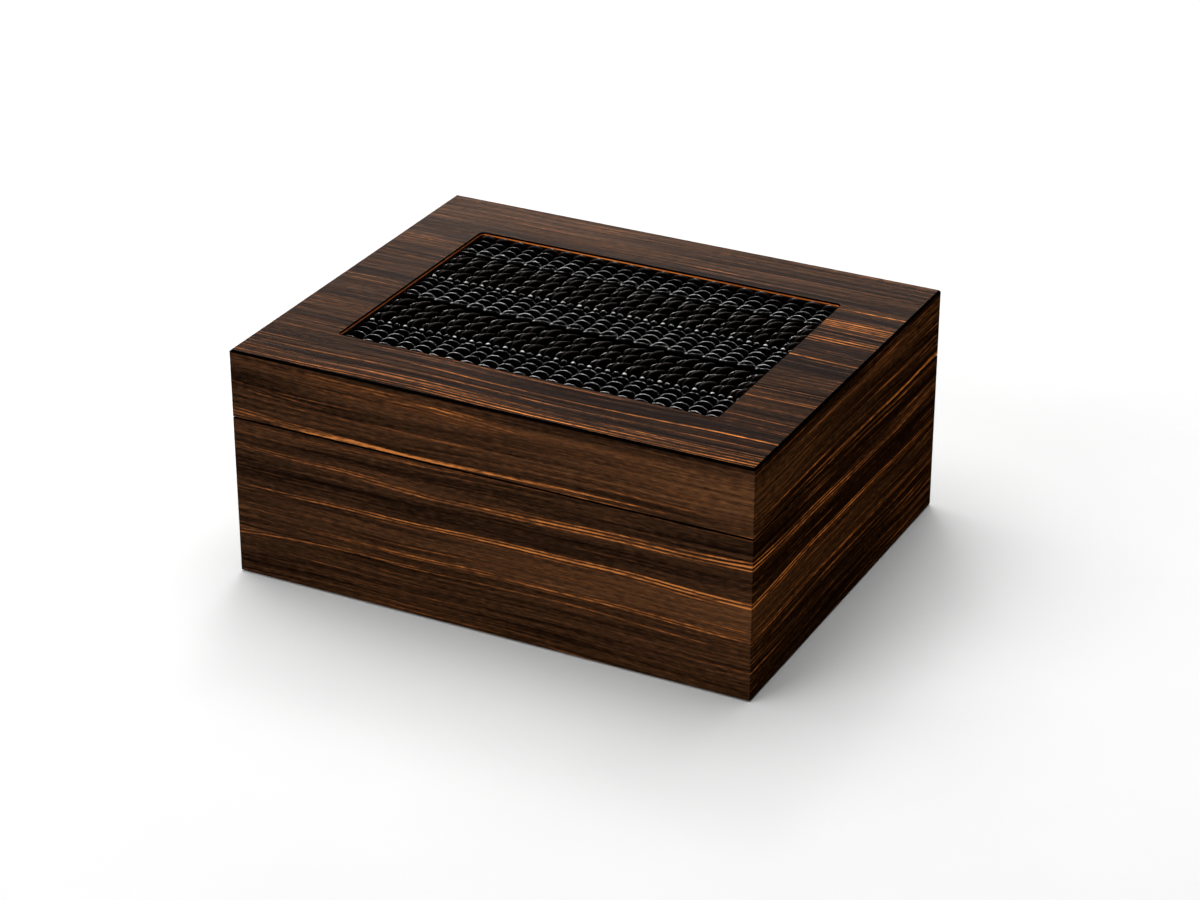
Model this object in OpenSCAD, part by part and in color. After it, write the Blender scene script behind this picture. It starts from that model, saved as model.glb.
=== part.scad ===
// Desk humidor. A veneered case with a hinged lid, a woven panel let into the lid,
// a cedar lining with a lift-out tray and sliding dividers, and a hygrometer and a
// humidifier carried under the lid. Millimetres. The origin is at the middle of the
// underside: X to the right, Y to the back, Z up.

/* [Case] */
// Outside width of the case
case_w = 350; // [310:1:420]
// Outside depth of the case, front to back
case_d = 280; // [250:1:340]
// Height of the base's walls
base_h = 106; // [98:1:140]
// Height of the lid's walls
lid_wall_h = 43.8; // [40:0.1:60]
// Thickness of the base's walls
wall_t = 12; // [11:0.5:15]
// Bevel on the case's upright corners
corner_bevel = 0.5; // [0.2:0.1:1]
// Open seam between the base and the shut lid
seam_gap = 0.3; // [0.2:0.1:0.6]
// Bevel on the two edges that meet at the seam
seam_bevel = 0.5; // [0.3:0.1:1.5]
// Thickness of the bottom panel
bottom_t = 6; // [4:0.5:9]
// How far the bottom panel is let into the walls
bottom_rebate = 6; // [3:0.5:8]
// Thickness of the felt under the case
felt_t = 1; // [0.8:0.1:3]
// How far the felt is set in from the outside
felt_inset = 5; // [2:0.5:12]

/* [Lid panel] */
// Width of the veneered border at the left and right of the woven panel
border_side = 47; // [30:0.5:70]
// Width of the veneered border at the front and back of the woven panel
border_front = 49.5; // [30:0.5:70]
// Thickness of the veneered facing
facing_t = 1.2; // [0.8:0.1:3]
// Width of the black stringing along the lid's top edges
stringing_w = 1.2; // [0.8:0.1:3]
// Width of the black bead round the recess
bead_w = 0.5; // [0.3:0.1:1.5]
// Corner radius of the recess
recess_r = 3; // [2:0.5:8]
// Thickness of the lid's core board
core_t = 10; // [9:0.5:14]
// Thickness of the board behind the woven panel
backing_t = 5; // [3:0.5:6]
// How far the backing board laps past the recess
backing_lap = 6; // [3:0.5:12]
// Thickness of the woven leather
leather_t = 3.8; // [2.5:0.1:4.5]
// Gap between the woven leather and the recess
leather_gap = 0.4; // [0.2:0.1:1]
// Thickness of the cedar ceiling in the lid
ceiling_t = 4; // [3:0.5:6]

/* [Cedar lining] */
// Thickness of the base's cedar lining
liner_t = 5; // [4:0.5:8]
// How far the lining stands up past the seam as a sealing lip
lip_h = 6; // [4:0.5:9]
// Bevel on the outer edge of the lip
lip_bevel = 1.2; // [0.5:0.1:2]
// Gap between the lip and the lid
lip_gap = 0.5; // [0.3:0.1:1]
// Thickness of the lid's cedar lining
lid_liner_t = 5; // [4:0.5:7]
// Thickness of the cedar floor
floor_t = 4; // [3:0.5:8]

/* [Tray] */
// Clear height under the tray
lower_h = 47; // [44:1:60]
// Height of the tray's walls
tray_h = 36; // [28:1:38]
// Thickness of the tray's walls
tray_wall_t = 6; // [5:0.5:9]
// Gap between the tray and the lining
tray_gap = 1; // [0.5:0.1:2]
// Number of slats in the tray's floor
slat_count = 6; // [4:1:8]
// Thickness of a slat
slat_t = 4; // [3:0.5:6]
// Air gap between slats
slat_gap = 5; // [3:0.5:9]
// How far a slat's end is let into the tray's wall
slat_lap = 3; // [2:0.5:4]
// Width of a finger scoop in the tray's ends
scoop_w = 70; // [50:1:90]
// Depth of a finger scoop
scoop_h = 12; // [8:0.5:16]
// Width and height of the rails that carry the tray
rail_size = 8; // [6:0.5:9]
// Gap between a rail's end and the lining
rail_gap = 12; // [2:1:30]

/* [Dividers] */
// Thickness of the tray's divider
tray_divider_t = 4; // [3:0.5:6]
// Height of the tray's divider
tray_divider_h = 24; // [16:1:24]
// Thickness of the lower divider
base_divider_t = 5; // [4:0.5:8]
// Height of the lower divider
base_divider_h = 37; // [25:1:37]
// Gap at each end of a divider
divider_gap = 0.5; // [0.3:0.1:1]

/* [Hinges] */
// Length of a hinge
hinge_len = 40; // [34:1:60]
// Distance from the case's side to the middle of a hinge
hinge_inset = 75; // [50:1:100]
// Thickness of a hinge leaf
leaf_t = 2.5; // [2:0.1:3]
// Distance from the pin to a leaf's inner edge
leaf_reach = 10; // [9:0.1:10.5]
// Radius of the hinge barrel
barrel_r = 3; // [2.5:0.1:3.5]
// Radius of the hinge pin
pin_r = 1.5; // [1.2:0.1:1.7]
// Length of each of the base's two knuckles
knuckle_len = 12; // [9:0.5:14]
// Distance of a hinge screw from the middle of its leaf
hinge_screw_x = 13; // [9:0.5:15]
// Length of a hinge screw
screw_len = 11; // [8:0.5:15]
// Radius of a hinge screw's shank
screw_r = 1; // [0.8:0.1:1.2]
// Radius of a hinge screw's head
screw_head_r = 2; // [1.7:0.1:2.4]

/* [Hygrometer] */
// Distance from the lid's middle to the hygrometer, towards the left
hygrometer_x = 98; // [90:1:110]
// Outside radius of the hygrometer's case
hygrometer_r = 23; // [20:0.5:26]
// Depth of the hygrometer's case
hygrometer_depth = 12; // [11:0.5:15]
// Wall thickness of the hygrometer's case
hygrometer_wall = 1.6; // [1.2:0.1:2]
// Radius of the needle's arbor
arbor_r = 0.6; // [0.5:0.05:0.9]
// Length of the needle from its arbor to its tip
needle_len = 15; // [10:0.5:16]
// Thickness of the steel plates that the magnets hold to
plate_t = 1.2; // [0.8:0.1:2]

/* [Humidifier] */
// Distance from the lid's middle to the humidifier, towards the right
humidifier_x = 40; // [36:1:50]
// Width of the humidifier
humidifier_w = 150; // [120:1:160]
// Depth of the humidifier, front to back
humidifier_d = 56; // [48:1:70]
// Height of the humidifier's tub
humidifier_h = 16; // [14:0.5:18]
// Wall thickness of the tub
tub_wall = 2; // [1.5:0.1:3]
// Corner radius of the tub
tub_r = 6; // [4:0.5:10]
// Width of a vent slot
vent_w = 4; // [2.5:0.1:5]
// Width of the bar between two vent slots
vent_bar = 5.5; // [5.2:0.1:8]
// Distance from a vent's end to the tub's inner wall
vent_edge = 9; // [6:0.5:14]
// Radius of a magnet
magnet_r = 6; // [4:0.5:7]
// Distance from a magnet's middle to the tub's end
magnet_inset = 30; // [15:1:40]

/* [Hidden] */
$fn = 96;
eps = 1;                    // how far a cut runs past the face that it opens
running_gap = 0.05;         // radial gap of a turning fit
seat_gap = 0.02;            // radial gap of a fixed pin
slide_gap = 0.3;            // gap of a sliding or swinging part
part_gap = 0.1;             // gap round a let-in metal part

ebony = "#3a2418";
mahogany = "#b05a24";
cedar = "#c08a5c";
black = "#141212";
brass = "#c9a24a";
steel = "#b8bcc0";

SIDES = ["front", "back", "left", "right"];
HANDS = ["left", "right"];

// Levels
z_base = felt_t;
z_rim = z_base + base_h;
z_axis = z_rim + seam_gap / 2;
z_lid = z_rim + seam_gap;
z_facing = z_lid + lid_wall_h;
z_core = z_facing - core_t;
z_ceiling = z_core - ceiling_t;
z_bottom = z_base + bottom_t;
z_floor = z_bottom + floor_t;
z_tray = z_floor + lower_h;
z_lip = z_rim + lip_h;

// Plan sizes
lid_wall_t = wall_t - lip_gap;
inner_w = case_w - 2 * wall_t;
inner_d = case_d - 2 * wall_t;
lid_inner_w = case_w - 2 * lid_wall_t;
lid_inner_d = case_d - 2 * lid_wall_t;
lined_w = inner_w - 2 * liner_t;
lined_d = inner_d - 2 * liner_t;
recess_w = case_w - 2 * border_side;
recess_d = case_d - 2 * border_front;
tray_w = lined_w - 2 * tray_gap;
tray_d = lined_d - 2 * tray_gap;
tray_inner_w = tray_w - 2 * tray_wall_t;
tray_inner_d = tray_d - 2 * tray_wall_t;
slat_w = (tray_inner_d - (slat_count + 1) * slat_gap) / slat_count;
scoop_r = (pow(scoop_w / 2, 2) + pow(scoop_h, 2)) / (2 * scoop_h);

// Hinges
hinge_x = case_w / 2 - hinge_inset;
y_axis = case_d / 2;
leaf_edge = barrel_r + slide_gap;
lid_knuckle_len = hinge_len - 2 * knuckle_len - 2 * slide_gap;
screw_y = (leaf_reach + leaf_edge) / 2;
screw_head_h = screw_head_r - screw_r;
screw_slot_w = 0.5;
screw_slot_h = screw_head_h / 2;

// Hygrometer, measured from its back towards its face
hygrometer_back = 2;
movement_h = 4;
movement_r = 13;
hygrometer_plate_r = 12;
dial_t = 0.6;
glass_t = 1.6;
bezel_t = 1.5;
bezel_lip = 3.5;
bezel_skirt = 4;
needle_t = 0.6;
needle_hub_r = 1.8;
needle_w = 1.1;
needle_tip = 0.3;
needle_tail = 5;
needle_rise = 0.8;
needle_angle = 48;          // the needle's rest, right of the scale's middle
cavity_r = hygrometer_r - hygrometer_wall;
glass_r = cavity_r + hygrometer_wall / 2;
z_dial = hygrometer_back + movement_h;
z_needle = z_dial + dial_t + needle_rise;
z_glass = hygrometer_depth - glass_t;

// Humidifier, measured from its back towards its grille
tub_back = 3;
grille_t = 2;
shutter_t = 1.2;
ledge_w = 2;
tub_cavity_w = humidifier_w - 2 * tub_wall;
tub_cavity_d = humidifier_d - 2 * tub_wall;
tub_cavity_r = tub_r - tub_wall;
sponge_d = tub_cavity_d - 2 * ledge_w;
z_ledge = humidifier_h - shutter_t - 2 * slide_gap;
shutter_travel = vent_w;
shutter_end = 1;            // room past each end of the shutter's travel
shutter_w = tub_cavity_w - shutter_travel - 2 * shutter_end;
shutter_d = tub_cavity_d - 2 * slide_gap;
shutter_x = -shutter_travel / 2;
tab_w = 5;
tab_d = 8;
tab_rise = 1.5;             // how far the finger tab stands out of the grille
tab_h = shutter_t + slide_gap + grille_t + tab_rise;
tab_slot_w = tab_w + shutter_travel + 2 * slide_gap;
tab_slot_d = tab_d + 2 * slide_gap;
tab_slot_x = (tub_cavity_w - tab_slot_w) / 2 - vent_bar;
vent_pitch = vent_w + vent_bar;
vent_len = tub_cavity_d - 2 * vent_edge;
vent_room = 2 * (tab_slot_x - tab_slot_w / 2 - vent_bar);
vent_count = 1 + floor((vent_room - vent_w) / vent_pitch);
magnet_h = 2;
magnet_x = humidifier_w / 2 - magnet_inset;
plate_margin = 3;
plate_w = 2 * (magnet_x + magnet_r + plate_margin);
plate_d = 2 * (magnet_r + plate_margin);

// Helpers

function is_long(side) = side == "front" || side == "back";
function side_length(side, w, d) = is_long(side) ? w : d;
function hand_x(hand) = hand == "left" ? -1 : 1;

// Plan of a board with mitred ends, its outer face on y = 0 and its inside towards +y.
function board_plan(length, t, bevel = 0) = bevel > 0
    ? [[-length / 2 + bevel, 0], [length / 2 - bevel, 0], [length / 2 - bevel / 2, bevel / 2],
       [length / 2 - t, t], [-length / 2 + t, t], [-length / 2 + bevel / 2, bevel / 2]]
    : [[-length / 2, 0], [length / 2, 0], [length / 2 - t, t], [-length / 2 + t, t]];

// Turns a board that lies along X to one side of a w by d rectangle.
module on_side(side, w, d) {
    turn = side == "front" ? 0 : side == "right" ? 90 : side == "back" ? 180 : 270;
    rotate(turn) translate([0, -side_length(side, d, w) / 2, 0]) children();
}

// Sweeps a section drawn in Y and Z along X.
module along_x(length) {
    rotate([90, 0, 90]) linear_extrude(length, center = true) children();
}

module box(w, d, h) {
    translate([-w / 2, -d / 2, 0]) cube([w, d, h]);
}

module rounded_rect(w, d, r) {
    square([w - 2 * r, d], center = true);
    square([w, d - 2 * r], center = true);
    for (x = [-1, 1], y = [-1, 1])
        translate([x * (w / 2 - r), y * (d / 2 - r)]) circle(r);
}

module recess_plan(grow = 0) {
    rounded_rect(recess_w + 2 * grow, recess_d + 2 * grow, recess_r + grow);
}

// Base

module base_wall(side) {
    length = side_length(side, case_w, case_d);
    color(ebony) difference() {
        on_side(side, case_w, case_d) translate([0, 0, z_base]) difference() {
            linear_extrude(base_h) polygon(board_plan(length, wall_t, corner_bevel));
            along_x(length + 2 * eps) polygon([
                [-eps, base_h + eps], [seam_bevel + eps, base_h + eps],
                [-eps, base_h - seam_bevel - eps]]);
            translate([-length / 2, wall_t - bottom_rebate, -eps])
                cube([length, bottom_rebate + eps, bottom_t + eps]);
        }
        if (side == "back") at_hinges() hinge_pocket();
    }
}

module base_bottom() {
    color(mahogany) translate([0, 0, z_base])
        box(inner_w + 2 * bottom_rebate, inner_d + 2 * bottom_rebate, bottom_t);
}

module felt_pad() {
    color(black) box(case_w - 2 * felt_inset, case_d - 2 * felt_inset, felt_t);
}

// The front and back linings run the full inside width, and the sides fit between them.
module liner(side) {
    length = is_long(side) ? inner_w : lined_d;
    h = z_lip - z_bottom;
    color(cedar) on_side(side, inner_w, inner_d) translate([0, 0, z_bottom]) along_x(length)
        polygon([[0, 0], [liner_t, 0], [liner_t, h], [lip_bevel, h], [0, h - lip_bevel]]);
}

module cedar_floor() {
    color(cedar) translate([0, 0, z_bottom]) box(lined_w, lined_d, floor_t);
}

module tray_rail(hand) {
    color(cedar)
        translate([hand_x(hand) * (lined_w - rail_size) / 2, 0, z_tray - rail_size])
            box(rail_size, lined_d - 2 * rail_gap, rail_size);
}

// Hinges, drawn about the middle of the pin with +Z towards the leaf's own half

module at_hinge(hand) {
    translate([hand_x(hand) * hinge_x, y_axis, z_axis]) children();
}

module at_hinges() {
    for (hand = HANDS) at_hinge(hand) children();
}

// Shows the base's half of something drawn for the lid's half.
module below() {
    mirror([0, 0, 1]) children();
}

module rod(r, length) {
    rotate([0, 90, 0]) cylinder(r = r, h = length, center = true);
}

module at_hinge_screws() {
    for (x = [-hinge_screw_x, hinge_screw_x])
        translate([x, -screw_y, seam_gap / 2]) children();
}

// The room that a hinge takes in both walls: barrel groove, leaf mortises and screw holes.
module hinge_pocket() {
    mortise_h = seam_gap + 2 * leaf_t;
    rod(barrel_r + slide_gap, hinge_len + 2 * slide_gap);
    translate([-hinge_len / 2 - part_gap, -leaf_reach - part_gap, -mortise_h / 2])
        cube([hinge_len + 2 * part_gap, leaf_reach + part_gap + eps, mortise_h]);
    for (half = [0, 1]) mirror([0, 0, half]) at_hinge_screws()
        cylinder(r = screw_r + running_gap, h = screw_len + slide_gap);
}

module hinge_screw() {
    difference() {
        union() {
            cylinder(r1 = screw_head_r, r2 = screw_r, h = screw_head_h);
            cylinder(r = screw_r, h = screw_len);
        }
        box(2 * screw_head_r, screw_slot_w, screw_slot_h);
    }
}

// One leaf: a plate with its knuckles at the given places along the pin.
module hinge_leaf(knuckles, length, bore_r) {
    difference() {
        union() {
            translate([-hinge_len / 2, -leaf_reach, seam_gap / 2])
                cube([hinge_len, leaf_reach - leaf_edge, leaf_t]);
            for (x = knuckles) translate([x, 0, 0]) {
                rod(barrel_r, length);
                translate([-length / 2, -leaf_edge - part_gap, seam_gap / 2])
                    cube([length, leaf_edge + part_gap, leaf_t]);
            }
        }
        rod(bore_r, hinge_len + 2 * eps);
        at_hinge_screws() {
            translate([0, 0, -eps]) cylinder(r = screw_r + part_gap, h = leaf_t + 2 * eps);
            cylinder(r1 = screw_head_r + part_gap, r2 = screw_r + part_gap, h = screw_head_h);
        }
    }
}

module hinge_base_leaf(hand) {
    outer = (hinge_len - knuckle_len) / 2;
    color(brass) at_hinge(hand) below()
        hinge_leaf([-outer, outer], knuckle_len, pin_r + seat_gap);
}

module hinge_lid_leaf(hand) {
    color(brass) at_hinge(hand) hinge_leaf([0], lid_knuckle_len, pin_r + running_gap);
}

module hinge_pin(hand) {
    color(steel) at_hinge(hand) rod(pin_r, hinge_len);
}

module hinge_base_screws() {
    color(brass) at_hinges() below() at_hinge_screws() hinge_screw();
}

module hinge_lid_screws() {
    color(brass) at_hinges() at_hinge_screws() hinge_screw();
}

// Lid

module lid_wall(side) {
    length = side_length(side, case_w, case_d);
    color(ebony) difference() {
        on_side(side, case_w, case_d) translate([0, 0, z_lid]) difference() {
            linear_extrude(lid_wall_h) polygon(board_plan(length, lid_wall_t, corner_bevel));
            along_x(length + 2 * eps) polygon([
                [-eps, -eps], [seam_bevel + eps, -eps], [-eps, seam_bevel + eps]]);
        }
        if (side == "back") at_hinges() hinge_pocket();
    }
}

module lid_core() {
    color(mahogany) translate([0, 0, z_core]) difference() {
        linear_extrude(core_t) difference() {
            square([lid_inner_w, lid_inner_d], center = true);
            recess_plan();
        }
        translate([0, 0, -eps]) linear_extrude(backing_t + eps) recess_plan(backing_lap);
    }
}

module lid_facing() {
    color(ebony) translate([0, 0, z_facing]) linear_extrude(facing_t) difference() {
        square([case_w - 2 * stringing_w, case_d - 2 * stringing_w], center = true);
        recess_plan(bead_w);
    }
}

// A three-cornered strip that makes the bevel along a top edge of the lid.
module stringing(side) {
    length = side_length(side, case_w, case_d);
    color(black) on_side(side, case_w, case_d) translate([0, 0, z_facing]) intersection() {
        along_x(length) polygon([[0, 0], [stringing_w, 0], [stringing_w, facing_t]]);
        linear_extrude(facing_t) polygon(board_plan(length, stringing_w, corner_bevel));
    }
}

module recess_bead() {
    color(black) translate([0, 0, z_facing]) linear_extrude(facing_t) difference() {
        recess_plan(bead_w);
        recess_plan();
    }
}

module leather_backing() {
    color(mahogany) translate([0, 0, z_core]) linear_extrude(backing_t)
        recess_plan(backing_lap - part_gap);
}

module woven_leather() {
    color(black) translate([0, 0, z_core + backing_t]) linear_extrude(leather_t)
        recess_plan(-leather_gap);
}

module lid_ceiling() {
    color(cedar) translate([0, 0, z_ceiling]) box(lid_inner_w, lid_inner_d, ceiling_t);
}

module lid_liner(side) {
    length = is_long(side) ? lid_inner_w : lid_inner_d - 2 * lid_liner_t;
    z_low = z_lip + lip_gap;
    color(cedar) on_side(side, lid_inner_w, lid_inner_d)
        translate([-length / 2, 0, z_low]) cube([length, lid_liner_t, z_ceiling - z_low]);
}

// Tray

module tray_wall(side) {
    length = side_length(side, tray_w, tray_d);
    color(cedar) on_side(side, tray_w, tray_d) translate([0, 0, z_tray]) difference() {
        linear_extrude(tray_h) polygon(board_plan(length, tray_wall_t));
        if (!is_long(side)) {
            translate([-tray_inner_d / 2, tray_wall_t - slat_lap, -eps])
                cube([tray_inner_d, slat_lap + eps, slat_t + eps]);
            translate([0, tray_wall_t / 2, tray_h - scoop_h + scoop_r]) rotate([90, 0, 0])
                cylinder(r = scoop_r, h = tray_wall_t + 2 * eps, center = true, $fn = 160);
        }
    }
}

module tray_slats() {
    first = -tray_inner_d / 2 + slat_gap + slat_w / 2;
    color(cedar) for (i = [0 : slat_count - 1])
        translate([0, first + i * (slat_w + slat_gap), z_tray])
            box(tray_inner_w + 2 * slat_lap, slat_w, slat_t);
}

module tray_divider() {
    color(cedar) translate([0, 0, z_tray + slat_t])
        box(tray_divider_t, tray_inner_d - 2 * divider_gap, tray_divider_h);
}

module base_divider() {
    color(cedar) translate([0, 0, z_floor])
        box(base_divider_t, lined_d - 2 * divider_gap, base_divider_h);
}

// Hygrometer, drawn with its back on z = 0 and its face towards +Z

module under_lid(x, gap) {
    translate([x, 0, z_ceiling - gap]) rotate([180, 0, 0]) children();
}

module at_hygrometer() {
    under_lid(-hygrometer_x, plate_t) children();
}

module hygrometer_plate() {
    color(steel) under_lid(-hygrometer_x, 0) cylinder(r = hygrometer_plate_r, h = plate_t);
}

module hygrometer_case() {
    color(brass) at_hygrometer() difference() {
        cylinder(r = hygrometer_r, h = hygrometer_depth);
        translate([0, 0, hygrometer_back]) cylinder(r = cavity_r, h = hygrometer_depth);
        translate([0, 0, z_glass]) cylinder(r = glass_r, h = hygrometer_depth);
    }
}

module hygrometer_movement() {
    color(steel) at_hygrometer() translate([0, 0, hygrometer_back]) {
        cylinder(r = movement_r, h = movement_h);
        cylinder(r = arbor_r, h = z_needle + needle_t + part_gap - hygrometer_back);
    }
}

module hygrometer_dial() {
    color("ivory") at_hygrometer() translate([0, 0, z_dial]) linear_extrude(dial_t) difference() {
        circle(cavity_r - part_gap);
        circle(arbor_r + slide_gap);
    }
}

// A tapered hand with a short tail, at rest a little right of the scale's middle.
module hygrometer_needle() {
    color(black) at_hygrometer() translate([0, 0, z_needle]) rotate(-needle_angle)
        linear_extrude(needle_t) difference() {
            union() {
                circle(needle_hub_r);
                polygon([[-needle_w / 2, 0], [needle_w / 2, 0],
                         [needle_tip / 2, needle_len], [-needle_tip / 2, needle_len]]);
                translate([-needle_w / 2, -needle_tail]) square([needle_w, needle_tail]);
            }
            circle(arbor_r + running_gap);
        }
}

module hygrometer_glass() {
    color("lightcyan") at_hygrometer() translate([0, 0, z_glass])
        cylinder(r = glass_r - part_gap, h = glass_t);
}

module hygrometer_bezel() {
    outer_r = hygrometer_r + bezel_t;
    color(brass) at_hygrometer() difference() {
        translate([0, 0, hygrometer_depth - bezel_skirt])
            cylinder(r = outer_r, h = bezel_skirt + bezel_t);
        translate([0, 0, hygrometer_depth - bezel_skirt - eps])
            cylinder(r = hygrometer_r + seat_gap, h = bezel_skirt + eps);
        cylinder(r = outer_r - bezel_lip - bezel_t, h = hygrometer_depth + bezel_t + eps);
    }
}

// Humidifier, drawn with its back on z = 0 and its grille towards +Z

module at_humidifier() {
    under_lid(humidifier_x, plate_t) children();
}

module tub_plan() {
    rounded_rect(humidifier_w, humidifier_d, tub_r);
}

module at_magnets() {
    for (x = [-magnet_x, magnet_x]) translate([x, 0, 0]) children();
}

module vents() {
    for (i = [0 : vent_count - 1])
        translate([(i - (vent_count - 1) / 2) * vent_pitch, 0])
            square([vent_w, vent_len], center = true);
}

module humidifier_plate() {
    color(steel) under_lid(humidifier_x, 0) box(plate_w, plate_d, plate_t);
}

module humidifier_tub() {
    color(black) at_humidifier() difference() {
        linear_extrude(humidifier_h) tub_plan();
        translate([0, 0, tub_back]) linear_extrude(humidifier_h)
            rounded_rect(tub_cavity_w, sponge_d, tub_cavity_r);
        translate([0, 0, z_ledge]) linear_extrude(humidifier_h)
            rounded_rect(tub_cavity_w, tub_cavity_d, tub_cavity_r);
        translate([0, 0, -eps]) at_magnets()
            cylinder(r = magnet_r + part_gap, h = magnet_h + eps);
    }
}

module humidifier_magnets() {
    color(steel) at_humidifier() at_magnets() cylinder(r = magnet_r, h = magnet_h);
}

module humidifier_sponge() {
    color("darkolivegreen") at_humidifier() translate([0, 0, tub_back])
        linear_extrude(z_ledge - tub_back - slide_gap)
            rounded_rect(tub_cavity_w - 2 * part_gap, sponge_d - 2 * part_gap, tub_cavity_r);
}

module humidifier_grille() {
    color(black) at_humidifier() translate([0, 0, humidifier_h]) linear_extrude(grille_t)
        difference() {
            tub_plan();
            vents();
            translate([tab_slot_x, 0]) square([tab_slot_w, tab_slot_d], center = true);
        }
}

// The slotted plate that opens and shuts the vents, with its finger tab.
module humidifier_shutter() {
    color("dimgray") at_humidifier() translate([0, 0, z_ledge + slide_gap]) {
        linear_extrude(shutter_t) difference() {
            translate([shutter_x, 0]) rounded_rect(shutter_w, shutter_d, tub_cavity_r);
            vents();
        }
        translate([tab_slot_x + shutter_x, 0, 0]) box(tab_w, tab_d, tab_h);
    }
}

// Nodes

for (side = SIDES) base_wall(side);
base_bottom();
felt_pad();
for (side = SIDES) liner(side);
cedar_floor();
for (hand = HANDS) tray_rail(hand);
for (hand = HANDS) hinge_base_leaf(hand);
for (hand = HANDS) hinge_pin(hand);
hinge_base_screws();
for (side = SIDES) lid_wall(side);
lid_core();
lid_facing();
for (side = SIDES) stringing(side);
recess_bead();
leather_backing();
woven_leather();
lid_ceiling();
for (side = SIDES) lid_liner(side);
for (hand = HANDS) hinge_lid_leaf(hand);
hinge_lid_screws();
hygrometer_plate();
humidifier_plate();
for (side = SIDES) tray_wall(side);
tray_slats();
tray_divider();
base_divider();
hygrometer_case();
hygrometer_movement();
hygrometer_dial();
hygrometer_glass();
hygrometer_bezel();
hygrometer_needle();
humidifier_tub();
humidifier_sponge();
humidifier_grille();
humidifier_magnets();
humidifier_shutter();
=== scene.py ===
# %% [markdown]
# # Dressing a desk humidor
# The box, its hinges, its tray and its instruments come ready made and at their real size, as a frame
# of separate parts. This lesson gives every part its finish, weaves the leather panel in the lid, and
# adds the small soft and printed pieces. Everything is in metres, with +Z up, the front of the box
# towards -Y, and the origin on the table under the middle of the box.

# %% Load the frame and keep its box
import math

import bmesh
import bpy
from mathutils import Matrix, Vector, noise


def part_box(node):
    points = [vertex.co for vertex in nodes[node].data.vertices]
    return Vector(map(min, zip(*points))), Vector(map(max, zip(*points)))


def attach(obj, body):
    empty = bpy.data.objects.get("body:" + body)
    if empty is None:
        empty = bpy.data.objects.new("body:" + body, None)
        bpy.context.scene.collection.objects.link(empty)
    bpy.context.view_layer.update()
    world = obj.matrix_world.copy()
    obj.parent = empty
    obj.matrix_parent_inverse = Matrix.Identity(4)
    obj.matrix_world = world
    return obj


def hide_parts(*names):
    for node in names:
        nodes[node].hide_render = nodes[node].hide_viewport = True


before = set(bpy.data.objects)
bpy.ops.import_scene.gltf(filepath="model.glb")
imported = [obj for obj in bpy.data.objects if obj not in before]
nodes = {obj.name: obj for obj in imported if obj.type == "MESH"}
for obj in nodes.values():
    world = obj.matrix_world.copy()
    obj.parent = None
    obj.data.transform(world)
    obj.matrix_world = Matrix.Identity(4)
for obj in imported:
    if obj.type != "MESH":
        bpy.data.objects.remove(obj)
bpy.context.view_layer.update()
MM = 0.001

# %% [markdown]
# ## The camera
# A product picture like this is taken from a few steps away with a long lens, so the edges of the box
# hardly converge. The camera could be aimed with a constraint, but plain numbers for its place, tilt
# and turn are easier to compare with a picture, one corner at a time.

# %% Place the camera
CAMERA_PLACE = (0.8300, -1.6093, 0.9698)
CAMERA_TILT = math.radians(63.37)
CAMERA_TURN = math.radians(27.13)
CAMERA_LENS_MM = 96.5


def add_to_scene(name, data):
    """A new object that holds the data, linked into the scene."""
    thing = bpy.data.objects.new(name, data)
    bpy.context.scene.collection.objects.link(thing)
    return thing


camera = add_to_scene("camera", bpy.data.cameras.new("camera"))
camera.location = CAMERA_PLACE
camera.rotation_euler = (CAMERA_TILT, 0, CAMERA_TURN)
camera.data.lens = CAMERA_LENS_MM
bpy.context.scene.camera = camera
print("camera:", CAMERA_LENS_MM, "mm lens at", CAMERA_PLACE)

# %% [markdown]
# ## Writing node trees
# Finishes and patterns are node trees. In the editor a node is placed and wired by hand. In a script it
# is shorter to have one small helper, so that a formula such as a wave or a mix is one line, and its
# result is passed on like any other value.


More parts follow.
